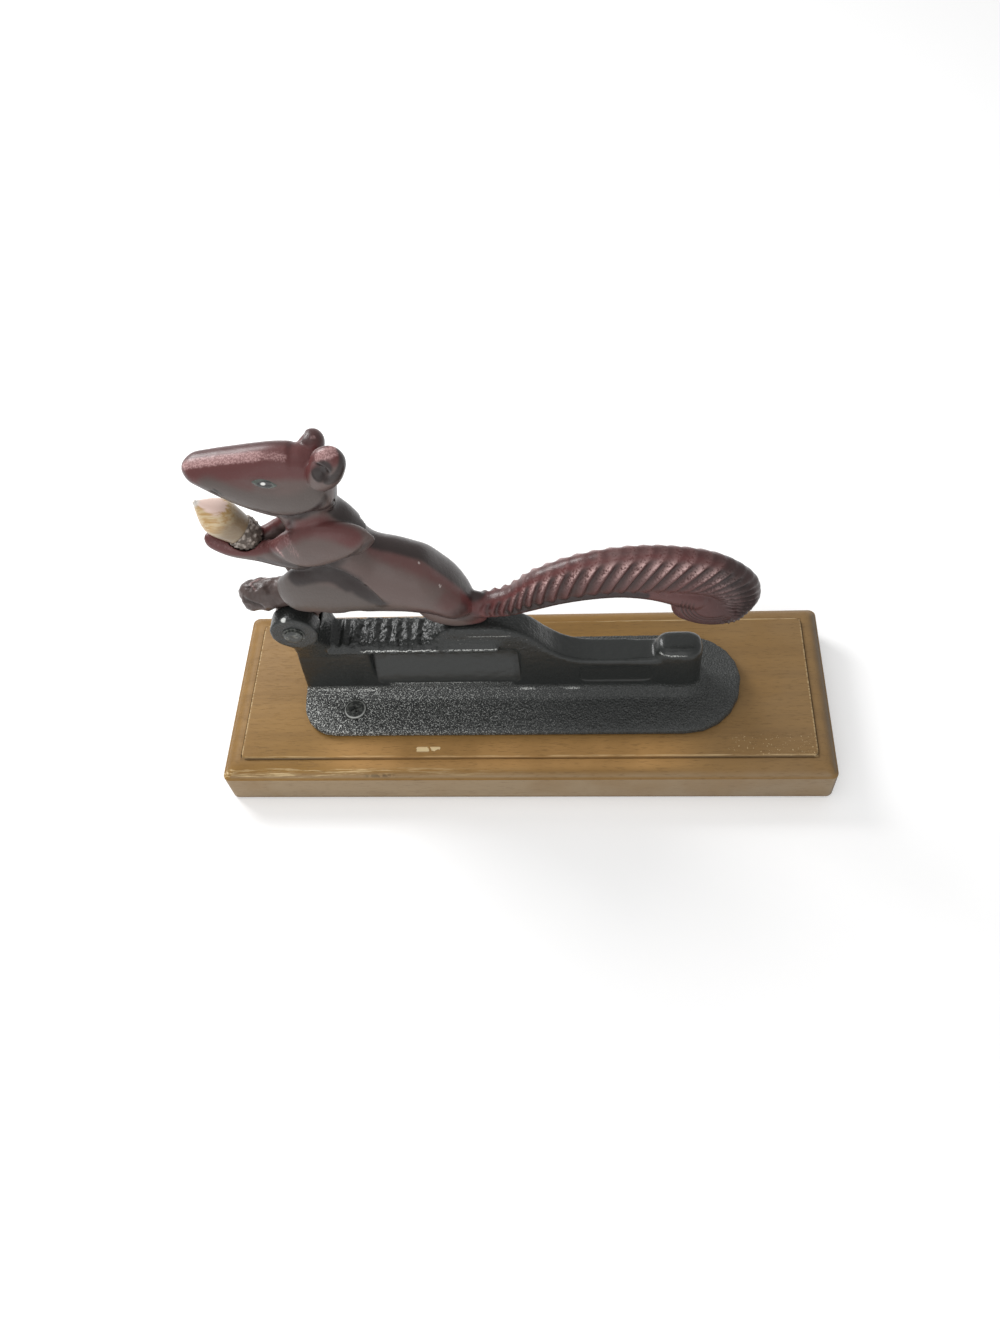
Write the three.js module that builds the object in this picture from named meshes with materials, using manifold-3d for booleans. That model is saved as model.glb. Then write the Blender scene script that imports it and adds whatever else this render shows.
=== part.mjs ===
// A lever nutcracker in cast iron. A squirrel whose tail is the handle is hinged at the front
// of a log with a toothed anvil bar. The log is screwed to a wooden plaque with a moulded edge,
// and the squirrel holds an acorn. A nut goes between the anvil bar and the squirrel's belly.
// Millimetres. X runs from the nose to the tail, Y goes away from the near side, Z is up, and
// the origin is the middle of the plaque's underside.

import * as THREE from "three";
import { mergeVertices } from "three/addons/utils/BufferGeometryUtils.js";
import Module from "manifold-3d";

const wasm = await Module();
wasm.setup();

// Fits
const seatGap = 0.3; // between pieces that touch
const cutOverrun = 5; // how far a cutting solid passes the surface that it cuts
const weldDistance = 0.0001; // points closer than this are one point
const sharpRadius = 0.01; // the smallest radius of a corner

// Wooden plaque
const plaqueLength = 254;
const plaqueDepth = 84;
const plaqueSideHeight = 15.8; // the upright side under the moulding
const mouldingWidth = 7.4;
const mouldingRise = 4.3;
const mouldingStep = 1.2; // the small upright step at the inner edge of the moulding
const plaqueCornerRadius = 3;
const plaqueArris = 0.8; // the eased lower edge

// Flange of the log, which lies on the plaque
const flangeLength = 183.5;
const flangeDepth = 48.5;
const flangeMargin = 33.5; // from the plaque's front end to the flange's
const flangeEdge = 3; // thickness at the rim
const flangeRise = 4; // how much thicker it is along the middle line
const flangeFrontRadius = 14;
const flangeTailRadius = 23.5;
const flangeEase = 1.2; // rounding of the rim

// Log
const logLength = 165.3; // from the front pillar to the back of the knot
const logSetback = 1.2; // from the flange's front end to the front pillar
const logThickness = 12;
const logWeb = 4; // what is left between the sunk panels
const logEase = 1.2;
const anvilHeight = 43.5; // the anvil bar's top above the plaque
const anvilLength = 68.5;
const anvilStart = 15.8; // from the front pillar to the anvil bar
const anvilOverhang = 2.7; // how far the bar stands out of each flank
const anvilShoulder = 2.9; // width of the sloped shoulder
const anvilDepth = 7.5;
const toothDepth = 2.2;
const toothCount = 12;
const seatRise = 6.9; // the pad that stops the squirrel, above the anvil bar
const seatLength = 20;
const seatRamp = 9; // length of the ramp in front of the pad
const ridgeHeight = 27.5; // the log's back above the plaque
const footFlare = 3.2; // how far the foot of the log spreads over the flange
const footRise = 3.5; // height of that flare above the flange's ridge
const knotLength = 19;
const knotHeight = 33;
const knotWidth = 13;
const knotRadius = 5;
const panelRadius = 3;
const panelRise = 2.5; // from the top of the flare to the panels

// Hinge
const pivotSetback = 8; // from the flange's front end to the pin
const pivotRise = 14.2; // the pin above the anvil bar
const pinRadius = 3;
const pinHeadOverhang = 0.6;
const pinHeadLength = 1.8;
const pinHeadEase = 0.6;
const bossWall = 6.3; // round the pin
const bossWidth = 24;
const neckCornerRadius = 1.8;
const tongueWidth = 8.4;
const tongueInset = 1.1; // how much smaller the tongue's end is than the boss

// Squirrel
const figureLength = 100; // from the pin to the tail, with the paws as far again in front
const figureHeight = 100; // from the pin to the ear tips
const figureWidth = 25; // across the flanks
const tailLength = 107;
const tailRise = 44;
const tailThickness = 13;
const ribDepth = 1.2;
const ribCount = 30;

// Acorn
const acornLength = 28.6;
const acornDiameter = 14;
const cupWall = 0.65; // round the nut's part in the cup
const cupLength = 9.3;
const acornLeanShare = 0.287; // of half a turn: its axis below the level, from tip to cup

// Screws
const screwHeadDiameter = 9.3;
const screwHeadHeight = 2.8;
const screwDiameter = 4.2;
const screwBite = 14; // how deep it goes into the plaque
const screwPointLength = 4;
const screwFrontSetback = 22; // from the flange's front end
const screwTailSetback = 31; // from the flange's tail end
const screwOffset = 13.5; // from the middle line

// Places that follow from the sizes
const plaqueHeight = plaqueSideHeight + mouldingRise + mouldingStep;
const plaqueFront = -plaqueLength / 2;
const flangeFront = plaqueFront + flangeMargin;
const flangeBack = flangeFront + flangeLength;
const flangeBase = plaqueHeight + flangeEdge;
const flangeTop = flangeBase + flangeRise;
const logFront = flangeFront + logSetback;
const logBack = logFront + logLength;
const footTop = flangeTop + footRise;
const ridgeTop = plaqueHeight + ridgeHeight;
const anvilTop = plaqueHeight + anvilHeight;
const anvilFront = logFront + anvilStart;
const anvilWidth = logThickness + 2 * anvilOverhang;
const seatTop = anvilTop + seatRise;
const seatBack = anvilFront + anvilLength;
const pivotX = flangeFront + pivotSetback;
const pivotZ = anvilTop + pivotRise;
const bossRadius = pinRadius + bossWall;
const tongueRadius = bossRadius - tongueInset;
const tailRootShare = 0.7; // of the figure's length, from the pin
const tailRootX = pivotX + tailRootShare * figureLength;

// Finishes
const maroonEnamel = new THREE.MeshStandardMaterial({ color: 0x6b3a3c, roughness: 0.35, metalness: 0.1 });
const blackIron = new THREE.MeshStandardMaterial({ color: 0x2c2e2e, roughness: 0.4, metalness: 0.3 });
const darkSteel = new THREE.MeshStandardMaterial({ color: 0x3a3a3a, roughness: 0.35, metalness: 0.9 });
const stainedWood = new THREE.MeshStandardMaterial({ color: 0xa07d50, roughness: 0.5, metalness: 0 });
const acornShell = new THREE.MeshStandardMaterial({ color: 0xbea06e, roughness: 0.45, metalness: 0 });
const acornScale = new THREE.MeshStandardMaterial({ color: 0x695f55, roughness: 0.85, metalness: 0 });

// Turns a closed geometry into a solid that can be joined and cut.
function solidOf(geometry) {
  const bare = geometry.clone();
  bare.deleteAttribute("normal");
  bare.deleteAttribute("uv");
  const welded = mergeVertices(bare, weldDistance);
  const corners = welded.index.array;
  const kept = [];
  for (let i = 0; i < corners.length; i += 3) {
    const [a, b, c] = corners.slice(i, i + 3);
    if (a !== b && b !== c && c !== a) kept.push(a, b, c);
  }
  const vertProperties = new Float32Array(welded.attributes.position.array);
  return new wasm.Manifold(
    new wasm.Mesh({ numProp: 3, vertProperties, triVerts: Uint32Array.from(kept) }),
  );
}

// Turns a solid into a named mesh.
function meshOf(name, body, material) {
  const made = body.getMesh();
  const geometry = new THREE.BufferGeometry();
  geometry.setAttribute("position", new THREE.BufferAttribute(made.vertProperties, 3));
  geometry.setIndex(new THREE.BufferAttribute(made.triVerts, 1));
  geometry.computeVertexNormals();
  const mesh = new THREE.Mesh(geometry, material);
  mesh.name = name;
  return mesh;
}

function joined(bodies) {
  return bodies.reduce((whole, body) => whole.add(body));
}

// Joins closed rings of points into one closed body. Each ring has as many points as the next
// and runs anticlockwise as seen from the last ring's side. The ends close on their middles.
function loft(rings, startPole, endPole) {
  const sides = rings[0].length;
  const points = [...rings.flat(), startPole, endPole];
  const start = points.length - 2;
  const end = points.length - 1;
  const last = (rings.length - 1) * sides;
  const index = [];
  for (let i = 0; i < sides; i++) {
    const next = (i + 1) % sides;
    for (let base = 0; base < last; base += sides) {
      index.push(base + i, base + next, base + sides + next);
      index.push(base + i, base + sides + next, base + sides + i);
    }
    index.push(start, next, i);
    index.push(end, last + i, last + next);
  }
  const geometry = new THREE.BufferGeometry().setFromPoints(points);
  geometry.setIndex(index);
  return solidOf(geometry);
}

function middleOf(ring) {
  return ring.reduce((sum, p) => sum.add(p), new THREE.Vector3()).divideScalar(ring.length);
}

// One coordinate of a rounded section: `square` of 2 is an ellipse, and more is boxier.
function rounded(value, square) {
  return Math.sign(value) * Math.abs(value) ** (2 / square);
}

// A ring of points round `centre`, in the plane of `across` and `up`.
function ringAt(centre, across, up, wide, high, sides, square) {
  return Array.from({ length: sides }, (_, i) => {
    const turn = (2 * Math.PI * i) / sides;
    return centre
      .clone()
      .addScaledVector(across, wide * rounded(Math.cos(turn), square))
      .addScaledVector(up, high * rounded(Math.sin(turn), square));
  });
}

// Where along a limb its rings stand, and how far each has swelled: the ends are domes.
function limbStops(rings, startDome, endDome) {
  const domeRings = 3;
  const dome = Array.from({ length: domeRings }, (_, i) => {
    const turn = ((i + 1) / domeRings) * (Math.PI / 2);
    return [1 - Math.cos(turn), Math.sin(turn)];
  });
  const stops = dome.map(([along, swell]) => [startDome * along, swell]);
  for (let i = 1; i < rings; i++) {
    stops.push([THREE.MathUtils.lerp(startDome, 1 - endDome, i / rings), 1]);
  }
  dome.reverse().forEach(([along, swell]) => stops.push([1 - endDome * along, swell]));
  return stops;
}

// A rounded limb through stations of the figure. Each station is [x, y, z, half width, half
// height], in shares of the figure's length, width and height from the hinge pin. The rings of
// a limb with `level` set stand upright across the part; the others stand across the limb.
function limb(
  stationShares,
  { rings, sides = 16, square = 2, startDome = 0.08, endDome = 0.08, level = false },
) {
  const spots = stationShares.map(
    ([x, y, z]) =>
      new THREE.Vector3(
        pivotX + x * figureLength,
        y * figureWidth,
        pivotZ + z * figureHeight,
      ),
  );
  const girths = stationShares.map(
    ([, , , wide, high]) => new THREE.Vector3(wide * figureWidth, high * figureHeight, 0),
  );
  const spine = new THREE.CatmullRomCurve3(spots, false, "catmullrom");
  const girth = new THREE.CatmullRomCurve3(girths, false, "catmullrom");
  const upright = new THREE.Vector3(0, 0, 1);
  const lengthways = new THREE.Vector3(1, 0, 0);
  const loops = limbStops(rings, startDome, endDome).map(([along, swell]) => {
    const forward = level ? lengthways : spine.getTangent(along);
    const across = new THREE.Vector3().crossVectors(upright, forward).normalize();
    const up = new THREE.Vector3().crossVectors(forward, across);
    const size = girth.getPoint(along);
    const wide = swell * size.x;
    const high = swell * size.y;
    return ringAt(spine.getPoint(along), across, up, wide, high, sides, square);
  });
  return loft(loops, spots[0], spots[spots.length - 1]);
}

// The same limb on the far side.
function mirrored(stationShares) {
  return stationShares.map(([x, y, ...rest]) => [x, -y, ...rest]);
}

// How many facets round each corner of the plates has.
const cornerSteps = { plaque: 4, flange: 5, knot: 3, flare: 3, neck: 2 };

// The outline of a plate with rounded corners, drawn in by `inset`, anticlockwise from above,
// with a point in the middle of each end.
function plateOutline({ front, back, depth, frontRadius, backRadius }, inset, steps) {
  const tail = Math.max(backRadius - inset, sharpRadius);
  const nose = Math.max(frontRadius - inset, sharpRadius);
  const half = depth / 2 - inset;
  const corners = [
    [back - inset - tail, -half + tail, tail, -1],
    [back - inset - tail, half - tail, tail, 0],
    [front + inset + nose, half - nose, nose, 1],
    [front + inset + nose, -half + nose, nose, 2],
  ];
  const points = [];
  corners.forEach(([x, y, radius, quarter], corner) => {
    for (let i = 0; i <= steps; i++) {
      const turn = (quarter + i / steps) * (Math.PI / 2);
      points.push([x + radius * Math.cos(turn), y + radius * Math.sin(turn)]);
    }
    if (corner === 0) points.push([back - inset, 0]);
    if (corner === 2) points.push([front + inset, 0]);
  });
  return points;
}

// A cylinder across the part, from y = -width / 2 to y = width / 2.
function crossBar(x, z, radius, width, sides) {
  const bar = new THREE.CylinderGeometry(radius, radius, width, sides);
  bar.translate(x, 0, z);
  return solidOf(bar);
}

function box(fromX, toX, width, fromZ, toZ) {
  const block = new THREE.BoxGeometry(toX - fromX, width, toZ - fromZ);
  block.translate((fromX + toX) / 2, 0, (fromZ + toZ) / 2);
  return solidOf(block);
}

// A side view of [x, z] points made `width` thick across the part, with its edges eased.
function slab(shape, width, ease, curveSegments) {
  const block = new THREE.ExtrudeGeometry(shape, {
    depth: width - 2 * ease,
    bevelEnabled: ease > 0,
    bevelThickness: ease,
    bevelSize: ease,
    bevelOffset: -ease,
    bevelSegments: 2,
    curveSegments,
  });
  block.rotateX(Math.PI / 2);
  block.translate(0, width / 2 - ease, 0);
  return solidOf(block);
}

// The plaque's edge as [inset, height] points, from the underside up and over the moulding.
function plaqueProfile() {
  const profile = [
    [plaqueArris, 0],
    [0, plaqueArris],
    [0, plaqueSideHeight],
  ];
  const mouldingSteps = 5;
  const firstTurn = Math.PI / 8;
  const firstRise = Math.sin(firstTurn);
  for (let i = 1; i <= mouldingSteps; i++) {
    const turn = THREE.MathUtils.lerp(firstTurn, Math.PI / 2, i / mouldingSteps);
    const acrossShare = 1 - Math.cos(turn);
    const riseShare = (Math.sin(turn) - firstRise) / (1 - firstRise);
    profile.push([mouldingWidth * acrossShare, plaqueSideHeight + mouldingRise * riseShare]);
  }
  profile.push([mouldingWidth, plaqueHeight]);
  return profile;
}

function woodenPlaque() {
  const outline = {
    front: plaqueFront,
    back: -plaqueFront,
    depth: plaqueDepth,
    frontRadius: plaqueCornerRadius,
    backRadius: plaqueCornerRadius,
  };
  const rings = plaqueProfile().map(([inset, z]) =>
    plateOutline(outline, inset, cornerSteps.plaque).map(([x, y]) => new THREE.Vector3(x, y, z)),
  );
  const board = loft(rings, middleOf(rings[0]), middleOf(rings[rings.length - 1]));
  return board.subtract(joined(screwPlaces().map(screwHole)));
}

// The height of the flange's top, which slopes down from the middle line to the rim.
function flangeSurface(y) {
  return flangeTop - flangeRise * (Math.abs(y) / (flangeDepth / 2));
}

// The flange is drawn in rings from its underside up over the rim to the middle line.
function flange() {
  const outline = {
    front: flangeFront,
    back: flangeBack,
    depth: flangeDepth,
    frontRadius: flangeFrontRadius,
    backRadius: flangeTailRadius,
  };
  const ring = (inset, height) =>
    plateOutline(outline, inset, cornerSteps.flange).map(
      ([x, y]) => new THREE.Vector3(x, y, height(y)),
    );
  const halfEase = flangeEase / 2;
  const rings = [ring(halfEase, () => plaqueHeight), ring(0, () => plaqueHeight + halfEase)];
  const easeSteps = 3;
  for (let i = 0; i <= easeSteps; i++) {
    const turn = (i / easeSteps) * (Math.PI / 2);
    const drop = flangeEase * (1 - Math.sin(turn));
    rings.push(ring(flangeEase * (1 - Math.cos(turn)), (y) => flangeSurface(y) - drop));
  }
  const insetShares = [0.3, 0.6, 0.9, 0.98];
  insetShares.forEach((share) => rings.push(ring((share * flangeDepth) / 2, flangeSurface)));
  return loft(rings, middleOf(rings[0]), middleOf(rings[rings.length - 1]));
}

// Draws a smooth curve from where the shape has got to through more points, in equal steps.
function sweepTo(shape, places, steps) {
  const through = places.map(([x, y]) => new THREE.Vector2(x, y));
  const curve = new THREE.SplineCurve([shape.currentPoint.clone(), ...through]);
  const points = curve.getSpacedPoints(steps).slice(1);
  points.forEach((point) => shape.lineTo(point.x, point.y));
}

// The front of the log's pillar, as [x, z] in shares of the log's length and of its own height,
// and the saddle behind the pad, with z from the log's back up to the pad.
const pillarShares = [
  [0.004, 0.45],
  [0.008, 0.75],
  [0.012, 1],
];
const saddleShares = [
  [0.565, 0.86],
  [0.6, 0.64],
  [0.635, 0.32],
  [0.67, 0.13],
  [0.73, 0],
  [0.9, 0],
];
const stubShare = 0.98; // where the log's back meets the knot's far side

// The side view of the log: front pillar, anvil, ramp and pad, long hollow back and its end.
function logShape() {
  const x = (share) => logFront + share * logLength;
  const anvilFloor = anvilTop - toothDepth;
  const shape = new THREE.Shape();
  shape.moveTo(logFront, flangeBase);
  const pillar = pillarShares.map(([along, up]) => [
    x(along),
    THREE.MathUtils.lerp(flangeBase, anvilFloor, up),
  ]);
  sweepTo(shape, pillar, 4);
  shape.lineTo(seatBack - seatLength - seatRamp, anvilFloor);
  shape.lineTo(seatBack - seatLength, seatTop);
  shape.lineTo(seatBack, seatTop);
  const saddle = saddleShares.map(([along, up]) => [
    x(along),
    THREE.MathUtils.lerp(ridgeTop, seatTop, up),
  ]);
  sweepTo(shape, saddle, 16);
  shape.lineTo(x(stubShare), ridgeTop);
  shape.lineTo(x(stubShare), flangeBase);
  shape.closePath();
  return shape;
}

// A sunk panel in both flanks of the log, down to the web.
function panels(fromX, toX, fromZ, toZ) {
  const shape = new THREE.Shape();
  const r = panelRadius;
  shape.moveTo(fromX + r, fromZ);
  shape.lineTo(toX - r, fromZ);
  shape.absarc(toX - r, fromZ + r, r, -Math.PI / 2, 0);
  shape.absarc(toX - r, toZ - r, r, 0, Math.PI / 2);
  shape.absarc(fromX + r, toZ - r, r, Math.PI / 2, Math.PI);
  shape.absarc(fromX + r, fromZ + r, r, Math.PI, 1.5 * Math.PI);
  const sunk = slab(shape, logThickness + 2 * cutOverrun, 0, 3);
  const web = box(fromX - cutOverrun, toX + cutOverrun, logWeb, fromZ - cutOverrun, toZ + cutOverrun);
  return sunk.subtract(web);
}

// The bar that the nut lies on: a wide bar with sloped shoulders and cross teeth on top.
function anvilBar() {
  const half = anvilWidth / 2;
  const halfTop = half - anvilShoulder;
  const neck = logThickness / 2;
  const shoulder = anvilTop - anvilDepth / 2;
  const lip = shoulder - anvilDepth / 6;
  const floor = anvilTop - anvilDepth;
  const profile = new THREE.Shape();
  profile.moveTo(-neck, floor);
  profile.lineTo(neck, floor);
  profile.lineTo(half, lip);
  profile.lineTo(half, shoulder);
  profile.lineTo(halfTop, anvilTop);
  profile.lineTo(-halfTop, anvilTop);
  profile.lineTo(-half, shoulder);
  profile.lineTo(-half, lip);
  const bar = new THREE.ExtrudeGeometry(profile, { depth: anvilLength, bevelEnabled: false });
  bar.rotateX(Math.PI / 2);
  bar.rotateZ(Math.PI / 2);
  bar.translate(anvilFront, 0, 0);
  return solidOf(bar).intersect(teeth());
}

// Each tooth's spacing and height, and where its flanks and crest lie along its step.
const toothSpacingShares = [1, 0.8, 1.15, 0.9, 1.1, 0.85, 1.05];
const toothHeightShares = [0.9, 1, 0.75, 0.95, 0.8, 1];
const toothFormShares = { rootEnd: 0.25, crestStart: 0.6, crestEnd: 0.85 };
const toothedShare = 0.75; // of the anvil bar's length

// The side view of the toothed bar, with teeth of slightly uneven spacing and height.
function teeth() {
  const toothedLength = toothedShare * anvilLength;
  const pitch = toothedLength / toothCount;
  const front = anvilFront - cutOverrun;
  const back = seatBack + cutOverrun;
  const below = anvilTop - anvilDepth - cutOverrun;
  const shape = new THREE.Shape();
  shape.moveTo(front, below);
  shape.lineTo(back, below);
  shape.lineTo(back, anvilTop);
  let x = anvilFront + toothedLength;
  shape.lineTo(x, anvilTop);
  for (let i = 0; i < toothCount; i++) {
    const step = pitch * toothSpacingShares[i % toothSpacingShares.length];
    const height = toothDepth * toothHeightShares[i % toothHeightShares.length];
    const crest = anvilTop - toothDepth + height;
    shape.lineTo(x - toothFormShares.rootEnd * step, anvilTop - toothDepth);
    shape.lineTo(x - toothFormShares.crestStart * step, crest);
    shape.lineTo(x - toothFormShares.crestEnd * step, crest);
    x -= step;
  }
  shape.lineTo(front, anvilTop - toothDepth);
  return slab(shape, anvilWidth + 2 * cutOverrun, 0, 1);
}

// The rounded stub at the tail end of the log.
function knot() {
  const outline = {
    front: logBack - knotLength,
    back: logBack,
    depth: knotWidth,
    frontRadius: knotRadius,
    backRadius: knotRadius,
  };
  const top = plaqueHeight + knotHeight;
  const rise = knotRadius - logEase;
  const rows = [
    [0, flangeBase],
    [0, top - rise],
  ];
  const turnShares = [0.35, 0.65, 0.9];
  turnShares.forEach((share) => {
    const turn = share * (Math.PI / 2);
    rows.push([rise * (1 - Math.cos(turn)), top - rise + rise * Math.sin(turn)]);
  });
  const loops = rows.map(([inset, z]) =>
    plateOutline(outline, inset, cornerSteps.knot).map(([x, y]) => new THREE.Vector3(x, y, z)),
  );
  const crown = middleOf(loops[loops.length - 1]).setZ(top);
  return loft(loops, middleOf(loops[0]), crown);
}

// The flare's rows from its foot up: [spread, height], in shares of the flare and its rise.
const flareShares = [
  [1, -0.4],
  [0.35, 0.35],
  [-0.9, 1],
];

// The flare where the log meets the flange.
function logFoot() {
  const outline = {
    front: logFront,
    back: logBack,
    depth: logThickness,
    frontRadius: logEase,
    backRadius: knotRadius,
  };
  const rows = flareShares.map(([spread, up]) => [spread * footFlare, flangeTop + up * footRise]);
  const rings = [[footFlare, flangeBase], ...rows].map(([spread, z]) =>
    plateOutline(outline, -spread, cornerSteps.flare).map(([x, y]) => {
      return new THREE.Vector3(THREE.MathUtils.clamp(x, logFront, flangeBack), y, z);
    }),
  );
  return loft(rings, middleOf(rings[0]), middleOf(rings[rings.length - 1]));
}

// The neck's levels from the log up: its height as a share of the neck's, its front from the
// pin and its length in shares of the boss's radius, and its widening from log to boss.
const neckLevelShares = [
  [0.42, -0.66, 2.3, 0],
  [0.62, -0.58, 2.1, 0],
  [0.76, -0.56, 1.8, 0.25],
  [0.88, -0.68, 1.66, 0.7],
  [1, -0.86, 1.72, 1],
];
const neckTopShare = 0.4; // of the boss's radius, below the pin

// The two ears that carry the pin, and the neck that brings them down to the front pillar.
function clevis() {
  const boss = crossBar(pivotX, pivotZ, bossRadius, bossWidth, 40);
  const neckTop = pivotZ - neckTopShare * bossRadius;
  const rings = neckLevelShares.map(([up, front, length, widening]) => {
    const outline = {
      front: pivotX + front * bossRadius,
      back: pivotX + (front + length) * bossRadius,
      depth: THREE.MathUtils.lerp(logThickness, bossWidth, widening),
      frontRadius: neckCornerRadius,
      backRadius: neckCornerRadius,
    };
    const z = THREE.MathUtils.lerp(plaqueHeight, neckTop, up);
    return plateOutline(outline, 0, cornerSteps.neck).map(
      ([x, y]) => new THREE.Vector3(x, y, z),
    );
  });
  return boss.add(loft(rings, middleOf(rings[0]), middleOf(rings[rings.length - 1])));
}

// The slot that the squirrel's tongue turns in, and the pin's hole.
function clevisSlot() {
  const width = tongueWidth + 2 * seatGap;
  const reach = bossRadius + cutOverrun;
  const sweep = crossBar(pivotX, pivotZ, bossRadius + seatGap, width, 40);
  const above = box(pivotX - reach, pivotX + reach, width, pivotZ, pivotZ + reach);
  const ahead = box(pivotX - reach, pivotX, width, pivotZ - bossRadius, pivotZ + reach);
  const hole = crossBar(pivotX, pivotZ, pinRadius + seatGap, bossWidth + 2 * cutOverrun, 24);
  return joined([sweep, above, ahead, hole]);
}

// Where the sunk panels start and end along the log.
const frontPanelShares = [0.19, 0.555];
const backPanelShares = [0.7, 0.88];

function logBase() {
  const x = (share) => logFront + share * logLength;
  const core = slab(logShape(), logThickness, logEase, 5);
  const floor = footTop + panelRise;
  const frontPanels = panels(...frontPanelShares.map(x), floor, anvilTop - anvilDepth);
  const backPanels = panels(...backPanelShares.map(x), floor, ridgeTop - logWeb);
  const sunk = core.subtract(frontPanels).subtract(backPanels);
  const whole = joined([sunk, flange(), logFoot(), knot(), anvilBar(), clevis()]);
  return whole.subtract(clevisSlot()).subtract(joined(screwPlaces().map(screwHole)));
}

// Stations of the squirrel, as `limb` reads them.
const trunkShares = [
  [0, 0, 0.17, 0.24, 0.05],
  [0.05, 0, 0.18, 0.38, 0.09],
  [0.095, 0, 0.2, 0.44, 0.13],
  [0.135, 0, 0.28, 0.46, 0.215],
  [0.2, 0, 0.31, 0.49, 0.275],
  [0.255, 0, 0.29, 0.5, 0.25],
  [0.303, 0, 0.27, 0.5, 0.234],
  [0.356, 0, 0.23, 0.5, 0.182],
  [0.436, 0, 0.213, 0.5, 0.163],
  [0.49, 0, 0.196, 0.5, 0.151],
  [0.543, 0, 0.175, 0.5, 0.136],
  [0.611, 0, 0.116, 0.48, 0.1],
  [0.7, 0, 0.04, 0.4, 0.075],
];
const heelShares = [
  [0.45, 0, 0.06, 0.16, 0.05],
  [0.52, 0, 0.03, 0.23, 0.085],
  [0.59, 0, 0.005, 0.25, 0.09],
  [0.65, 0, 0, 0.24, 0.09],
  [0.72, 0, 0, 0.18, 0.08],
  [0.76, 0, 0.01, 0.12, 0.05],
];
const neckShares = [
  [0.225, 0, 0.42, 0.42, 0.15],
  [0.205, 0, 0.5, 0.4, 0.13],
  [0.181, 0, 0.57, 0.37, 0.11],
  [0.16, 0, 0.65, 0.35, 0.107],
  [0.152, 0, 0.73, 0.33, 0.108],
];
const headShares = [
  [0.29, 0, 0.738, 0.27, 0.088],
  [0.26, 0, 0.734, 0.34, 0.12],
  [0.22, 0, 0.729, 0.37, 0.142],
  [0.165, 0, 0.724, 0.385, 0.16],
  [0.085, 0, 0.736, 0.38, 0.153],
  [-0.005, 0, 0.757, 0.36, 0.121],
  [-0.085, 0, 0.78, 0.31, 0.085],
  [-0.148, 0, 0.798, 0.25, 0.055],
  [-0.203, 0, 0.81, 0.18, 0.033],
];
const nearEarShares = [
  [0.26, -0.2, 0.78, 0.2, 0.045],
  [0.293, -0.26, 0.83, 0.2, 0.058],
  [0.32, -0.3, 0.89, 0.18, 0.058],
  [0.342, -0.31, 0.945, 0.14, 0.043],
];
const farEarShares = [
  [0.2, 0.18, 0.785, 0.2, 0.042],
  [0.223, 0.21, 0.817, 0.2, 0.042],
  [0.243, 0.24, 0.85, 0.19, 0.04],
  [0.256, 0.25, 0.878, 0.16, 0.03],
];
const nearArmShares = [
  [0.4, -0.26, 0.49, 0.08, 0.03],
  [0.35, -0.31, 0.503, 0.17, 0.06],
  [0.275, -0.34, 0.51, 0.21, 0.088],
  [0.205, -0.35, 0.5, 0.22, 0.1],
  [0.13, -0.33, 0.462, 0.21, 0.092],
  [0.045, -0.22, 0.416, 0.17, 0.064],
  [-0.045, -0.125, 0.402, 0.14, 0.044],
  [-0.135, -0.1, 0.418, 0.14, 0.038],
  [-0.19, -0.09, 0.452, 0.13, 0.034],
  [-0.22, -0.09, 0.485, 0.1, 0.025],
];
const farArmShares = [
  [0.23, 0.08, 0.42, 0.12, 0.05],
  [0.185, 0.2, 0.44, 0.17, 0.08],
  [0.12, 0.28, 0.44, 0.2, 0.086],
  [0.045, 0.22, 0.416, 0.17, 0.064],
  [-0.045, 0.125, 0.402, 0.14, 0.044],
  [-0.135, 0.1, 0.418, 0.14, 0.038],
  [-0.19, 0.09, 0.452, 0.13, 0.034],
  [-0.22, 0.09, 0.485, 0.1, 0.025],
];
const thighShares = [
  [0, -0.22, 0.17, 0.16, 0.06],
  [0.065, -0.31, 0.21, 0.2, 0.1],
  [0.155, -0.34, 0.245, 0.22, 0.138],
  [0.255, -0.34, 0.243, 0.21, 0.135],
  [0.335, -0.31, 0.205, 0.18, 0.1],
  [0.405, -0.26, 0.16, 0.12, 0.055],
];
const footShares = [
  [0.04, 0, 0.14, 0.24, 0.07],
  [-0.04, 0, 0.115, 0.24, 0.06],
  [-0.12, 0, 0.108, 0.26, 0.064],
  [-0.165, 0, 0.104, 0.25, 0.062],
  [-0.2, 0, 0.095, 0.2, 0.05],
];

// The tail's ribs run from a root line to a crest line, which sweeps round the tip. Each row is
// [root x, root z, crest x, crest z, half thickness] in shares of the tail's length, rise and
// thickness, from the tail's root and the pin.
const tailRibShares = [
  [0.01, -0.05, -0.02, 0.115, 0.4],
  [0.1, -0.03, 0.11, 0.215, 0.42],
  [0.19, 0.03, 0.21, 0.44, 0.46],
  [0.29, 0.12, 0.34, 0.61, 0.49],
  [0.4, 0.185, 0.48, 0.71, 0.5],
  [0.5, 0.21, 0.61, 0.74, 0.5],
  [0.59, 0.215, 0.72, 0.715, 0.5],
  [0.68, 0.225, 0.835, 0.635, 0.5],
  [0.74, 0.225, 0.92, 0.505, 0.48],
  [0.79, 0.215, 0.98, 0.34, 0.46],
  [0.82, 0.17, 1, 0.17, 0.43],
  [0.85, 0.1, 0.995, 0.05, 0.42],
  [0.88, 0.02, 0.965, -0.06, 0.42],
  [0.89, -0.04, 0.93, -0.14, 0.4],
  [0.87, -0.08, 0.89, -0.19, 0.38],
];
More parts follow.
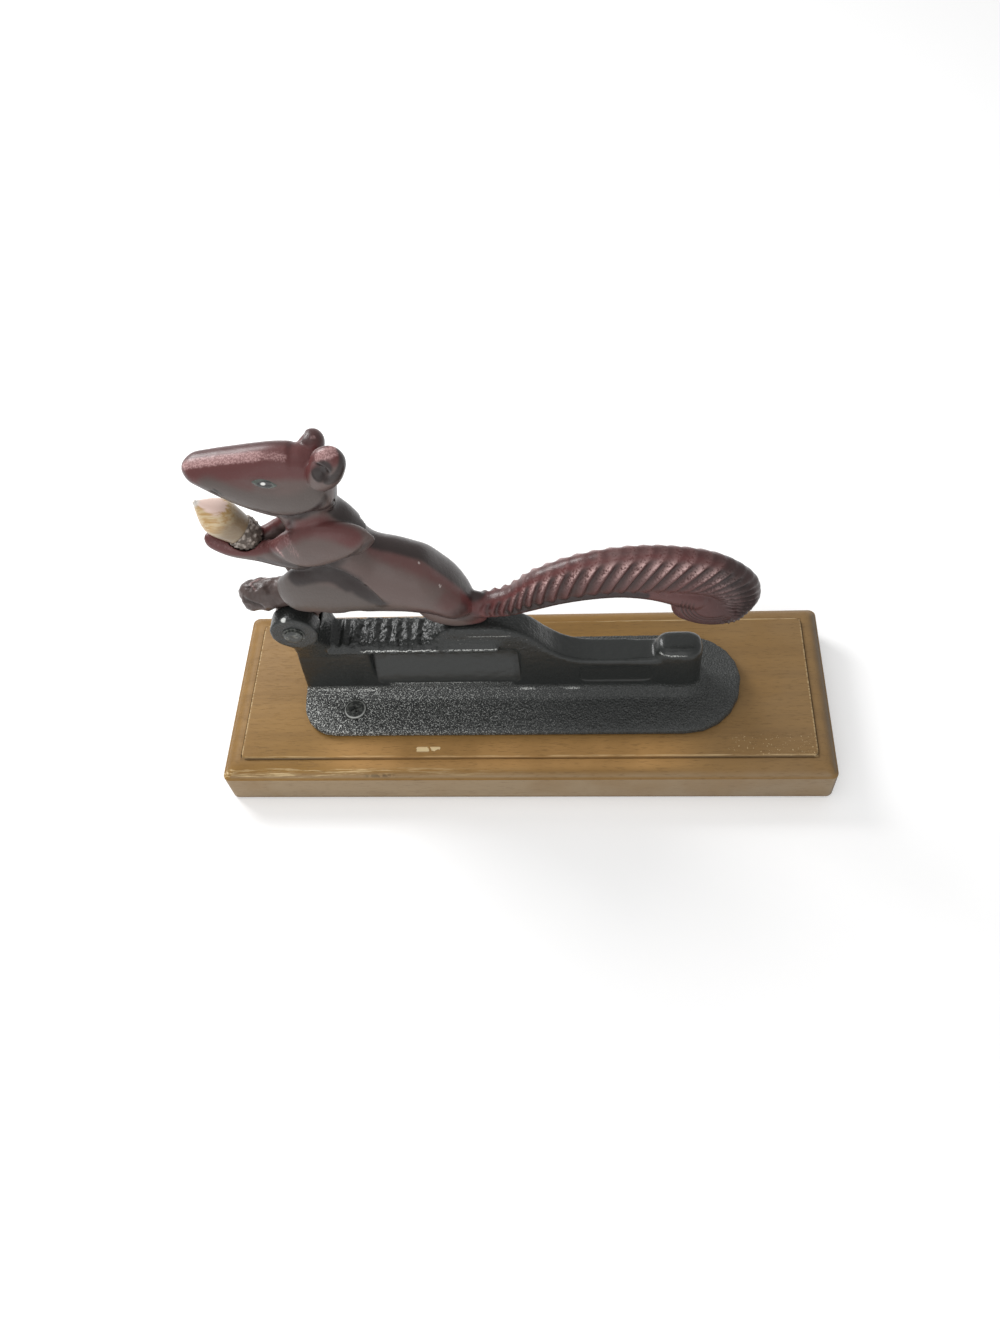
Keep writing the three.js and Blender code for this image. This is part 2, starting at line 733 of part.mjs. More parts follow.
const tailCurlShares = [
  [0.7, 0.1, 0.38, 0.12],
  [0.75, 0.03, 0.42, 0.19],
  [0.8, 0, 0.46, 0.23],
  [0.855, -0.02, 0.46, 0.235],
  [0.91, 0, 0.46, 0.2],
  [0.955, 0.05, 0.38, 0.12],
];
const tailShaftShares = [
  [-0.08, 0.02, 0.4, 0.085],
  [0.1, 0.04, 0.42, 0.085],
  [0.2, 0.12, 0.43, 0.09],
  [0.3, 0.21, 0.44, 0.09],
  [0.41, 0.27, 0.44, 0.09],
  [0.52, 0.29, 0.44, 0.09],
  [0.63, 0.26, 0.46, 0.11],
  [0.74, 0.17, 0.48, 0.14],
  [0.83, 0.08, 0.48, 0.14],
];

function tailPoint(x, z) {
  return new THREE.Vector3(tailRootX + x * tailLength, 0, pivotZ + z * tailRise);
}

// How deep the tail is cut at each of the rings that make a rib: groove, flank and crest.
const grooveShares = [1, 0.1, 0];

// How deep a groove is at a place round the tail's section: none on the smooth strip at the
// root line, and full over the upper part.
const grooveFadeShares = { start: -0.6, end: 0.1 };

function grooveFade(turn) {
  return THREE.MathUtils.smoothstep(Math.sin(turn), grooveFadeShares.start, grooveFadeShares.end);
}

function ribbedTail() {
  const roots = new THREE.CatmullRomCurve3(
    tailRibShares.map(([x, z]) => tailPoint(x, z)),
    false,
    "catmullrom",
  );
  const crests = new THREE.CatmullRomCurve3(
    tailRibShares.map(([, , x, z]) => tailPoint(x, z)),
    false,
    "catmullrom",
  );
  const thicknesses = new THREE.CatmullRomCurve3(
    tailRibShares.map(([, , , , half]) => new THREE.Vector3(half * tailThickness, 0, 0)),
    false,
    "catmullrom",
  );
  const across = new THREE.Vector3(0, 1, 0);
  const sides = 16;
  const square = 2.3;
  const count = ribCount * grooveShares.length;
  const rings = [];
  for (let i = 0; i <= count; i++) {
    const along = i / count;
    const root = roots.getPoint(along);
    const crest = crests.getPoint(along);
    const centre = root.clone().lerp(crest, 0.5);
    const up = crest.clone().sub(centre);
    const high = up.length();
    up.normalize();
    const half = thicknesses.getPoint(along).x;
    const groove = ribDepth * grooveShares[i % grooveShares.length];
    rings.push(
      Array.from({ length: sides }, (_, k) => {
        const turn = (2 * Math.PI * k) / sides;
        const cut = groove * grooveFade(turn);
        return centre
          .clone()
          .addScaledVector(across, (half - cut) * rounded(Math.cos(turn), square))
          .addScaledVector(up, (high - cut) * Math.sin(turn));
      }),
    );
  }
  return loft(rings, middleOf(rings[0]), middleOf(rings[rings.length - 1]));
}

// A smooth run of the tail: rows of [x, z, half width, half height].
function tailRun(rowShares, rings, startDome, endDome) {
  const spine = new THREE.CatmullRomCurve3(
    rowShares.map(([x, z]) => tailPoint(x, z)),
    false,
    "catmullrom",
  );
  const girth = new THREE.CatmullRomCurve3(
    rowShares.map(([, , wide, high]) => new THREE.Vector3(wide * tailThickness, high * tailRise, 0)),
    false,
    "catmullrom",
  );
  const across = new THREE.Vector3(0, 1, 0);
  const loops = limbStops(rings, startDome, endDome).map(([along, swell]) => {
    const up = new THREE.Vector3().crossVectors(spine.getTangent(along), across).normalize();
    const size = girth.getPoint(along);
    return ringAt(spine.getPoint(along), across, up, swell * size.x, swell * size.y, 14, 2);
  });
  return loft(loops, spine.getPoint(0), spine.getPoint(1));
}

// Where the tongue runs up into the body, in shares of the figure from the pin.
const tongueTopShares = { front: -0.05, back: 0.3, up: 0.16 };

// The plate under the belly that turns on the pin.
function tongue() {
  const top = pivotZ + tongueTopShares.up * figureHeight;
  const shape = new THREE.Shape();
  shape.moveTo(pivotX + tongueRadius, pivotZ);
  shape.lineTo(pivotX + tongueTopShares.back * figureLength, top);
  shape.lineTo(pivotX + tongueTopShares.front * figureLength, top);
  shape.lineTo(pivotX - tongueRadius, pivotZ);
  shape.absarc(pivotX, pivotZ, tongueRadius, Math.PI, 2 * Math.PI);
  return slab(shape, tongueWidth, 0, 12);
}

// The space round the boss's two ears, which the squirrel's body keeps clear of.
function besideTongue() {
  const width = figureWidth + cutOverrun;
  const around = crossBar(pivotX, pivotZ, bossRadius + 2 * seatGap, width, 40);
  return around.subtract(crossBar(pivotX, pivotZ, bossRadius + cutOverrun, tongueWidth, 40));
}

// The space under the heel: it rests on the pad, and its sole is flat.
function belowSeat() {
  const front = pivotX + bossRadius + cutOverrun;
  const back = seatBack + seatLength;
  return box(front, back, figureWidth + cutOverrun, plaqueHeight, seatTop + seatGap);
}

function squirrelLever() {
  const thigh = { rings: 6, sides: 14, startDome: 0.12, endDome: 0.12 };
  const figure = joined([
    limb(trunkShares, { rings: 14, sides: 20, startDome: 0.1, endDome: 0.09, level: true }),
    limb(heelShares, { rings: 4, sides: 12, startDome: 0.2, endDome: 0.2, level: true }),
    limb(neckShares, { rings: 4 }),
    limb(headShares, { rings: 9, sides: 18, square: 2.3, startDome: 0.12, endDome: 0.1 }),
    limb(nearEarShares, { rings: 3, sides: 12, endDome: 0.3 }),
    limb(farEarShares, { rings: 3, sides: 12, endDome: 0.3 }),
    limb(nearArmShares, { rings: 8, sides: 12, startDome: 0.15, endDome: 0.1 }),
    limb(farArmShares, { rings: 8, sides: 12, startDome: 0.15, endDome: 0.1 }),
    limb(thighShares, thigh),
    limb(mirrored(thighShares), thigh),
    limb(footShares, { rings: 4, sides: 14, endDome: 0.2 }),
    ribbedTail(),
    tailRun(tailShaftShares, 12, 0.05, 0.08),
    tailRun(tailCurlShares, 5, 0.2, 0.2),
  ]);
  const pinHole = crossBar(pivotX, pivotZ, pinRadius + seatGap, bossWidth, 24);
  return joined([figure.subtract(besideTongue()), tongue()])
    .subtract(pinHole)
    .subtract(belowSeat())
    .subtract(acornSolid(seatGap));
}

// Where the acorn's tip is, in shares of the figure from the pin.
const acornTipShares = { x: -0.219, z: 0.636 };

// Turns a body round the upright axis into one that lies on the acorn's axis.
function onAcornAxis(geometry) {
  geometry.rotateZ(-Math.PI / 2);
  geometry.rotateY(acornLeanShare * Math.PI);
  geometry.translate(
    pivotX + acornTipShares.x * figureLength,
    0,
    pivotZ + acornTipShares.z * figureHeight,
  );
  return solidOf(geometry);
}

// How wide the nut is at the cup's rim, as a share of its widest.
const nutRimShare = 0.82;

// The nut's profile as [radius, distance from the tip], in shares of its radius and of the
// acorn's length. The last point is inside the cup.
const nutShares = [
  [0.1, 0],
  [0.2, 0.035],
  [0.42, 0.11],
  [0.68, 0.2],
  [0.91, 0.28],
  [1, 0.36],
  [0.97, 0.46],
  [0.9, 0.57],
  [nutRimShare, 0.67],
  [0.72, 0.8],
];

// The cup's profile as [radius, distance from its rim], in shares of its radius and length.
const cupShares = [
  [1, 0],
  [1, 0.3],
  [0.9, 0.55],
  [0.67, 0.78],
  [0.33, 0.95],
];

function turned(points, sides) {
  return new THREE.LatheGeometry(
    points.map(([radius, along]) => new THREE.Vector2(radius, along)),
    sides,
  );
}

// The nut, larger all round by `grow`.
function nutSolid(grow) {
  const radius = acornDiameter / 2 + grow;
  const length = acornLength + 2 * grow;
  const side = nutShares.map(([out, along]) => [out * radius, along * length - grow]);
  const end = acornLength - cupLength / 2;
  return onAcornAxis(turned([[0, -grow], ...side, [0, end + grow]], 20));
}

// The cup before the nut's seat is cut into it, larger all round by `grow`.
function cupSolid(grow) {
  const radius = (nutRimShare * acornDiameter) / 2 + cupWall + grow;
  const rim = acornLength - cupLength;
  const side = cupShares.map(([out, along]) => [out * radius, rim + along * cupLength]);
  return onAcornAxis(turned([[0, rim - grow], ...side, [0, acornLength + grow]], 20));
}

function acornSolid(grow) {
  return nutSolid(grow).add(cupSolid(grow));
}

function acornCup() {
  return cupSolid(0).subtract(nutSolid(seatGap));
}

// The profile of half of the pin, as [radius, distance from the middle].
function pivotPin() {
  const ear = bossWidth / 2;
  const end = ear + pinHeadLength;
  const head = pinRadius + pinHeadOverhang;
  const half = [
    [pinRadius, ear + seatGap],
    [head, ear + seatGap],
    [head, end - pinHeadEase],
    [head - pinHeadEase, end],
    [0, end],
  ];
  const otherHalf = half.map(([radius, along]) => [radius, -along]).reverse();
  const pin = turned([...otherHalf, ...half], 24);
  pin.translate(pivotX, 0, pivotZ);
  return solidOf(pin);
}

// The two screws stand at opposite corners of the flange: near the front, and far at the tail.
function screwPlaces() {
  return [
    [flangeFront + screwFrontSetback, -screwOffset],
    [flangeBack - screwTailSetback, screwOffset],
  ];
}

// A screw's body at its place, larger all round by `grow` and with its head longer by `rise`.
function screwBody([x, y], grow, rise) {
  const top = flangeSurface(screwOffset);
  const point = plaqueHeight - screwBite;
  const head = screwHeadDiameter / 2 + grow;
  const shank = screwDiameter / 2 + grow;
  const body = turned(
    [
      [0, point - grow],
      [shank, point + screwPointLength - grow],
      [shank, top - screwHeadHeight - grow],
      [head, top - grow],
      [head, top + rise],
      [0, top + rise],
    ],
    24,
  );
  body.rotateX(Math.PI / 2);
  body.translate(x, y, 0);
  return solidOf(body);
}

function screwHole(place) {
  return screwBody(place, seatGap, cutOverrun);
}

function woodScrew(place) {
  return screwBody(place, 0, seatGap);
}

const nutcracker = new THREE.Group();
const base = new THREE.Group();
const lever = new THREE.Group();
const [nearPlace, farPlace] = screwPlaces();
base.add(
  meshOf("wooden_plaque", woodenPlaque(), stainedWood),
  meshOf("log_base", logBase(), blackIron),
  meshOf("pivot_pin", pivotPin(), darkSteel),
  meshOf("screw_near", woodScrew(nearPlace), darkSteel),
  meshOf("screw_far", woodScrew(farPlace), darkSteel),
);
lever.add(
  meshOf("squirrel_lever", squirrelLever(), maroonEnamel),
  meshOf("acorn_nut", nutSolid(0), acornShell),
  meshOf("acorn_cup", acornCup(), acornScale),
);
nutcracker.add(base, lever);

export default nutcracker;
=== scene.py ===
"""The looks of a lever nutcracker.

A squirrel cast in iron and painted maroon is hinged at the front of a black cast log, which is
screwed to a moulded wooden plaque.  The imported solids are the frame.  Every size is in metres.
"""

import logging
import math
from collections.abc import Callable, Iterator, Sequence
from contextlib import contextmanager
from dataclasses import dataclass
from enum import Enum, IntEnum

import bmesh
import bpy
import numpy as np
from mathutils import Matrix, Vector, noise
from mathutils.bvhtree import BVHTree


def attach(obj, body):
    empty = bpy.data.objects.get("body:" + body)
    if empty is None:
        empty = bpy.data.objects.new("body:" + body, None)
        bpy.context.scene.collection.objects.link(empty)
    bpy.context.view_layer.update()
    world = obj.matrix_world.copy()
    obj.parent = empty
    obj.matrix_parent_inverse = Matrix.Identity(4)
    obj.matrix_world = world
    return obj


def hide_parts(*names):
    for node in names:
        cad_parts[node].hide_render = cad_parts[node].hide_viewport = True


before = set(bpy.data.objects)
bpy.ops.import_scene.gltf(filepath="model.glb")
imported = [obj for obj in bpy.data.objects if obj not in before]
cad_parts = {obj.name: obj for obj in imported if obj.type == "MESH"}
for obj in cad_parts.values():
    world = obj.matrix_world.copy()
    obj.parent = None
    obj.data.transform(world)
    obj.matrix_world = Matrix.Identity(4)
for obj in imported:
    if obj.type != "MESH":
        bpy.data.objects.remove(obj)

log = logging.getLogger("nutcracker")

MM = 0.001
Row = Sequence[float]
Paint = tuple[float, float, float, float]

# Sizes and places that more than one piece or finish needs.
PLAQUE_LENGTH = 254 * MM
PLAQUE_DEPTH = 84 * MM
MOULDING_WIDTH = 7.4 * MM
SCREW_PLACES = ((-71.5 * MM, -13.5 * MM), (59 * MM, 13.5 * MM))
PIN = (-85.5 * MM, 0.0, 79 * MM)
EYE = (-76.6 * MM, 159.2 * MM)
ACORN_TIP = (-107.4 * MM, 0.0, 142.6 * MM)
ACORN_LEAN = math.radians(51.66)


def paint(red: int, green: int, blue: int) -> Paint:
    """Turns a colour as seen on a screen, 0 to 255, into the shader's linear colour.

    Args:
        red: The red share.
        green: The green share.
        blue: The blue share.

    Returns:
        The linear colour with full alpha.
    """
    def linear(value: int) -> float:
        """Undoes the screen's gamma for one channel."""
        share = value / 255
        return share / 12.92 if share <= 0.04045 else ((share + 0.055) / 1.055) ** 2.4

    return (linear(red), linear(green), linear(blue), 1.0)


class Axis(IntEnum):
    """The axes, as the columns of a piece's points."""

    X = 0
    Y = 1
    Z = 2


Zone = Sequence[tuple[Axis, float, float]]


class Bench:
    """Operators of Blender's, each with the selection that it needs."""

    @staticmethod
    def pick(*pieces: bpy.types.Object) -> None:
        """Selects these pieces only, and makes the first one active."""
        bpy.ops.object.select_all(action="DESELECT")
        for piece in pieces:
            piece.select_set(True)
        bpy.context.view_layer.objects.active = pieces[0]

    @staticmethod
    def named(name: str) -> bpy.types.Object:
        """Names the piece that was just added, and returns it."""
        piece = bpy.context.active_object
        piece.name = name
        piece.data.name = name
        return piece

    @staticmethod
    @contextmanager
    def editing(piece: bpy.types.Object) -> Iterator[None]:
        """Opens a piece in edit mode with nothing selected, and closes it again.

        Args:
            piece: The piece.

        Yields:
            Nothing: the piece is open inside the with block.
        """
        Bench.pick(piece)
        bpy.ops.object.mode_set(mode="EDIT")
        bpy.ops.mesh.select_all(action="DESELECT")
        try:
            yield
        finally:
            bpy.ops.object.mode_set(mode="OBJECT")

    @staticmethod
    def choose(piece: bpy.types.Object, kind: str, test: Callable[..., bool]) -> None:
        """Selects parts of a piece in edit mode.

        Args:
            piece: The piece that is open in edit mode.
            kind: VERT, EDGE or FACE.
            test: Says of a vertex, edge or face whether it is wanted.
        """
        bpy.ops.mesh.select_mode(type=kind)
        bpy.ops.mesh.select_all(action="DESELECT")
        mesh = bmesh.from_edit_mesh(piece.data)
        parts = {"VERT": mesh.verts, "EDGE": mesh.edges, "FACE": mesh.faces}[kind]
        for part in [part for part in parts if test(part)]:
            part.select_set(True)
        bmesh.update_edit_mesh(piece.data)

    @staticmethod
    def settle(piece: bpy.types.Object) -> bpy.types.Object:
        """Puts a piece's place, turn and scale into its mesh."""
        Bench.pick(piece)
        bpy.ops.object.transform_apply(location=True, rotation=True, scale=True)
        return piece

    @staticmethod
    def drum(
        name: str, radius: float, length: float, place: Row, sides: int, upright: bool = False
    ) -> bpy.types.Object:
        """Adds a cylinder that lies along Y, as the hinge pin does, or stands upright.

        Args:
            name: Its name.
            radius: Its radius.
            length: Its length.
            place: Its middle.
            sides: How many sides it has.
            upright: Whether it stands.

        Returns:
            The cylinder.
        """
        bpy.ops.object.select_all(action="DESELECT")
        turn = (0.0 if upright else math.pi / 2, 0.0, 0.0)
        bpy.ops.mesh.primitive_cylinder_add(
            vertices=sides, radius=radius, depth=length, location=place, rotation=turn
        )
        return Bench.settle(Bench.named(name))

    @staticmethod
    def block(name: str, size: Row, place: Row, turn: float = 0.0) -> bpy.types.Object:
        """Adds a box.

        Args:
            name: Its name.
            size: Its length, depth and height.
            place: Its middle.
            turn: How far it is turned on Z.

        Returns:
            The box.
        """
        bpy.ops.object.select_all(action="DESELECT")
        bpy.ops.mesh.primitive_cube_add(size=1, location=place, rotation=(0.0, 0.0, turn))
        box = Bench.named(name)
        box.scale = size
        return Bench.settle(box)

    @staticmethod
    def modify(piece: bpy.types.Object, kind: str, **settings: object) -> bpy.types.Object:
        """Adds a modifier with these settings and applies it.

        Args:
            piece: The piece to change.
            kind: The modifier's type.
            settings: The modifier's properties.

        Returns:
            The same piece.
        """
        Bench.pick(piece)
        bpy.ops.object.modifier_add(type=kind)
        modifier = piece.modifiers[-1]
        for name, value in settings.items():
            setattr(modifier, name, value)
        bpy.ops.object.modifier_apply(modifier=modifier.name)
        return piece

    @staticmethod
    def cut(piece: bpy.types.Object, *tools: bpy.types.Object) -> bpy.types.Object:
        """Cuts tools out of a piece and throws the tools away."""
        for tool in tools:
            Bench.modify(piece, "BOOLEAN", operation="DIFFERENCE", object=tool, solver="EXACT")
            bpy.data.objects.remove(tool)
        return piece

    @staticmethod
    def join(*pieces: bpy.types.Object) -> bpy.types.Object:
        """Joins pieces into the first one."""
        Bench.pick(*pieces)
        bpy.ops.object.join()
        return pieces[0]

    @staticmethod
    def copy_of(node: str, name: str) -> bpy.types.Object:
        """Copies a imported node's shape, with its loose triangles merged.

        Args:
            node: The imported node.
            name: The copy's name.

        Returns:
            The copy, which rides on nothing yet.
        """
        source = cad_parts[node]
        piece = bpy.data.objects.new(name, source.data.copy())
        bpy.context.scene.collection.objects.link(piece)
        piece.data.materials.clear()
        with Bench.editing(piece):
            bpy.ops.mesh.select_all(action="SELECT")
            bpy.ops.mesh.remove_doubles(threshold=1e-6)
        return piece

    @staticmethod
    def outward(piece: bpy.types.Object) -> bpy.types.Object:
        """Merges doubles and turns every face outwards."""
        with Bench.editing(piece):
            bpy.ops.mesh.select_all(action="SELECT")
            bpy.ops.mesh.remove_doubles(threshold=1e-6)
            bpy.ops.mesh.normals_make_consistent(inside=False)
        return piece

    @staticmethod
    def melt(piece: bpy.types.Object, grain: float, rounds: int) -> None:
        """Melts a piece into one skin of even faces, as a casting comes out of its mould.

        Args:
            piece: The piece, which may be several closed bodies.
            grain: The size of a face.
            rounds: How often the skin is eased.
        """
        Bench.modify(piece, "REMESH", mode="VOXEL", voxel_size=grain, adaptivity=0.0)
        Bench.modify(piece, "SMOOTH", factor=0.5, iterations=rounds)

    @staticmethod
    def smooth(piece: bpy.types.Object, degrees: float = 40.0) -> bpy.types.Object:
        """Shades a piece smooth up to an angle."""
        Bench.pick(piece)
        bpy.ops.object.shade_smooth_by_angle(angle=math.radians(degrees))
        return piece

    @staticmethod
    def limb(name: str, rings: Sequence[Matrix], sides: int) -> bpy.types.Object:
        """Draws a rounded limb: a circle, extruded from ring to ring.

        Args:
            name: The limb's name.
            rings: Each ring's place, turn and size as one matrix on the unit circle.
            sides: The circle's sides.

        Returns:
            The closed limb.
        """
        bpy.ops.object.select_all(action="DESELECT")
        bpy.ops.mesh.primitive_circle_add(vertices=sides, radius=1.0, fill_type="NGON")
        piece = Bench.named(name)
        with Bench.editing(piece):
            bpy.ops.mesh.select_all(action="SELECT")
            last = Matrix.Identity(4)
            for index, ring in enumerate(rings):
                if index:
                    bpy.ops.mesh.extrude_region_move()
                step = ring @ last.inverted()
                mesh = bmesh.from_edit_mesh(piece.data)
                for vertex in mesh.verts:
                    if vertex.select:
                        vertex.co = step @ vertex.co
                bmesh.update_edit_mesh(piece.data)
                last = ring
            bpy.ops.mesh.select_all(action="SELECT")
            bpy.ops.mesh.normals_make_consistent(inside=False)
        return piece

    @staticmethod
    def points(piece: bpy.types.Object, kept: str = "co") -> np.ndarray:
        """Returns the places, or another vector, of a piece's vertices.

        Args:
            piece: The piece.
            kept: The vector's name on a vertex.

        Returns:
            One row for each vertex.
        """
        found = np.empty(len(piece.data.vertices) * 3)
        piece.data.vertices.foreach_get(kept, found)
        return found.reshape(-1, 3)

    @staticmethod
    def normals(piece: bpy.types.Object) -> np.ndarray:
        """Returns the normals of a piece's vertices, one row each."""
        return Bench.points(piece, "normal")

    @staticmethod
    def place(piece: bpy.types.Object, points: np.ndarray) -> None:
        """Moves a piece's vertices to new places."""
        piece.data.vertices.foreach_set("co", points.astype(np.float32).ravel())
        piece.data.update()

    @staticmethod
    def roughen(piece: bpy.types.Object, depth: float, grain: float, where: np.ndarray) -> None:
        """Gives a skin the small waves of sand casting.

        Args:
            piece: The piece to change.
            depth: The waves' height.
            grain: The waves' size.
            where: How much of the height each vertex gets.
        """
        points = Bench.points(piece)
        normals = Bench.normals(piece)
        wave = np.array([noise.fractal(Vector(p / grain), 0.9, 2.0, 3) for p in points])
        Bench.place(piece, points + normals * (wave * depth * where)[:, None])


def curve_through(rows: Sequence[Row], stops: np.ndarray) -> np.ndarray:
    """Runs a smooth curve through rows of numbers.

    Args:
        rows: The rows, evenly spread from 0 to 1.
        stops: Where to read the curve, from 0 to 1.

    Returns:
        One row for each stop.
    """
    table = np.asarray(rows, float)
    table = np.vstack([2 * table[0] - table[1], table, 2 * table[-1] - table[-2]])
    spans = len(rows) - 1
    at = np.clip(np.asarray(stops, float) * spans, 0, spans - 1e-9)
    start = at.astype(int)
    t = (at - start)[:, None]
    a, b, c, d = (table[start + k] for k in range(4))
    slope_in, slope_out = (c - a) / 2, (d - b) / 2
    return (
        (2 * t**3 - 3 * t**2 + 1) * b
        + (t**3 - 2 * t**2 + t) * slope_in
        + (3 * t**2 - 2 * t**3) * c
        + (t**3 - t**2) * slope_out
    )


def eased(values: np.ndarray, low: float, high: float) -> np.ndarray:
    """Rises smoothly from 0 at `low` to 1 at `high`."""
    share = np.clip((values - low) / (high - low), 0, 1)
    return share * share * (3 - 2 * share)


def within(points: np.ndarray, zone: Zone) -> np.ndarray:
    """Works out how far inside a zone each vertex is.

    Args:
        points: The vertices.
        zone: Its limits: an axis, where the zone starts and where it is full, in millimetres.

    Returns:
        The share of each vertex, from 0 to 1.
    """
    share = np.ones(len(points))
    for axis, start, full in zone:
        share *= eased(points[:, axis], start * MM, full * MM)
    return share


class Signal:
    """A shader socket that Python's operators work on."""

    def __init__(self, graph: "Graph", socket: bpy.types.NodeSocket) -> None:
        """Wraps a socket of a graph."""
        self.graph = graph
        self.socket = socket

    def other(self, name: str) -> "Signal":
        """Returns another output of the same node."""
        return Signal(self.graph, self.socket.node.outputs[name])

    def maths(self, operation: str, *values: "Signal | float") -> "Signal":
        """Adds one Math node and returns its result."""
        inputs = dict(enumerate(values))
        return self.graph.add("ShaderNodeMath", 0, {"operation": operation}, inputs)

    def __add__(self, other: "Signal | float") -> "Signal":
        """Adds."""
        return self.maths("ADD", self, other)

    def __mul__(self, other: "Signal | float") -> "Signal":
        """Multiplies."""
        return self.maths("MULTIPLY", self, other)

    def __sub__(self, other: "Signal | float") -> "Signal":
        """Subtracts."""
        return self.maths("SUBTRACT", self, other)

    def __rsub__(self, other: "Signal | float") -> "Signal":
        """Subtracts from a number."""
        return self.maths("SUBTRACT", other, self)

    def __abs__(self) -> "Signal":
        """Drops the sign."""
        return self.maths("ABSOLUTE", self)

    def __pow__(self, power: float) -> "Signal":
        """Raises to a power."""
        return self.maths("POWER", self, power)

    def most(self, other: "Signal | float") -> "Signal":
        """Takes the larger of two values."""
        return self.maths("MAXIMUM", self, other)

    def least(self, other: "Signal | float") -> "Signal":
        """Takes the smaller of two values."""
        return self.maths("MINIMUM", self, other)

    def rise(self, low: float, high: float) -> "Signal":
        """Rises smoothly from 0 at `low` to 1 at `high`, and falls where `high` is the lower."""
        if high < low:
            return 1 - self.rise(high, low)
        inputs = {"Value": self, "From Min": low, "From Max": high}
        settings = {"interpolation_type": "SMOOTHSTEP", "clamp": True}
        return self.graph.add("ShaderNodeMapRange", "Result", settings, inputs)

    def band(self, low: float, high: float, edge: float) -> "Signal":
        """Is 1 between two values and falls to 0 over an edge beyond them."""
        return self.rise(low - edge, low) * self.rise(high + edge, high)


class Graph:
    """The nodes of one material, built round a Principled shader."""

    def __init__(self, name: str, base: Paint) -> None:
        """Starts an empty material with a Principled shader.

        Args:
            name: The material's name.
            base: The paint that lies under all others.
        """
        self.colour: Paint | Signal = base
        self.material = bpy.data.materials.new(name)
        self.material.use_nodes = True
        self.tree = self.material.node_tree
        self.shader = self.tree.nodes["Principled BSDF"]
        self.object = self.add("ShaderNodeTexCoord", "Object", {}, {})
        self.facing = self.object.other("Normal")
        split = self.add("ShaderNodeSeparateXYZ", "X", {}, {0: self.object})
        self.x, self.y, self.z = split, split.other("Y"), split.other("Z")

    def add(
        self,
        kind: str,
        output: str | int,
        settings: dict[str, object],
        inputs: dict[str | int, object],
    ) -> Signal:
        """Adds any node.

        Args:
            kind: The node's type.
            output: The output to return.
            settings: The node's own properties, set first.
            inputs: Values or signals for the node's sockets, by name or number.

        Returns:
            The chosen output.
        """
        node = self.tree.nodes.new(kind)
        for name, value in settings.items():
            setattr(node, name, value)
        for key, value in inputs.items():
            self._feed(node.inputs[key], value)
        return Signal(self, node.outputs[output])

    def _feed(self, socket: bpy.types.NodeSocket, value: object) -> None:
        """Links a signal to a socket, or sets a plain value."""
        if isinstance(value, Signal):
            self.tree.links.new(value.socket, socket)
        else:
            socket.default_value = value

    def mix(self, factor: Signal | float, first: object, second: object) -> Signal:
        """Mixes two colours by the second one's share."""
        settings = {"data_type": "RGBA", "clamp_factor": True}
        return self.add("ShaderNodeMix", 2, settings, {0: factor, 6: first, 7: second})

    def lay(self, mask: Signal | float, colour: Paint) -> None:
        """Lays a paint over the colour so far, where the mask is."""
        self.colour = self.mix(mask, self.colour, colour)

    def between(self, factor: Signal, first: float, second: float) -> Signal:
        """Runs from one number to another."""
        return factor * (second - first) + first

    def grain(
        self, size: float, detail: float = 3.0, roughness: float = 0.55, at: Signal | None = None
    ) -> Signal:
        """Adds noise whose features are about `size` across.

        Args:
            size: The features' size.
            detail: The noise's detail.
            roughness: The noise's roughness.
            at: The coordinates, if not the object's own.

        Returns:
            The noise, about 0.3 to 0.7.
        """
        inputs = {
            "Vector": at or self.object,
            "Scale": 1 / size,
            "Detail": detail,
            "Roughness": roughness,
        }
        return self.add("ShaderNodeTexNoise", 0, {}, inputs)

    def cells(self, size: float) -> Signal:
        """Adds cells about `size` across, as the distance from their middles."""
        inputs = {"Vector": self.object, "Scale": 1 / size}
        return self.add("ShaderNodeTexVoronoi", "Distance", {"feature": "F1"}, inputs)

    def turned(self, turn: Row, scale: Row) -> Signal:
        """Turns and stretches the object's coordinates, axis by axis, for a pattern."""
        inputs = {"Vector": self.object, "Rotation": turn, "Scale": scale}
        return self.add("ShaderNodeMapping", "Vector", {"vector_type": "POINT"}, inputs)

    def bump(self, height: Signal, depth: float, strength: float) -> Signal:
        """Turns heights into a bumpy normal, where a height of 1 is worth `depth`."""
        inputs = {"Strength": strength, "Distance": depth, "Height": height}
        return self.add("ShaderNodeBump", "Normal", {}, inputs)

    def spot(self, centre: Row, radius: float, edge: float) -> Signal:
        """Is 1 within a distance from a point, and falls to 0 over an edge.

        Args:
            centre: The point.
            radius: The distance.
            edge: The width of the fall.

        Returns:
            The mask.
        """
        settings = {"operation": "DISTANCE"}
        away = self.add("ShaderNodeVectorMath", "Value", settings, {0: self.object, 1: centre})
        return away.rise(radius + edge, radius)

    def dress(self, **sockets: object) -> bpy.types.Material:
        """Feeds the shader with the colour and these values, and returns the material.

        Args:
            sockets: Values or signals, by the socket's name with _ for a space.

        Returns:
            The finished material.
        """
        for name, value in {"Base_Color": self.colour, **sockets}.items():
            self._feed(self.shader.inputs[name.replace("_", " ")], value)
        return self.material


class Coating(Enum):
    """How thick the lacquer over a paint is, as the shader's coat weight."""

    WAXED = 0.05
    THIN = 0.15
    GLOSSY = 0.5


class Tint(Enum):
    """The paints that go over the squirrel's grey, in the order in which they are laid on."""

    RED = "red"
    # A painted sheen over the maroon.
    GREY = "grey"
    # Painted highlights.
    BRIGHT = "bright"
    # Mostly painted shade, and darker paint along the back.
    DARK = "dark"


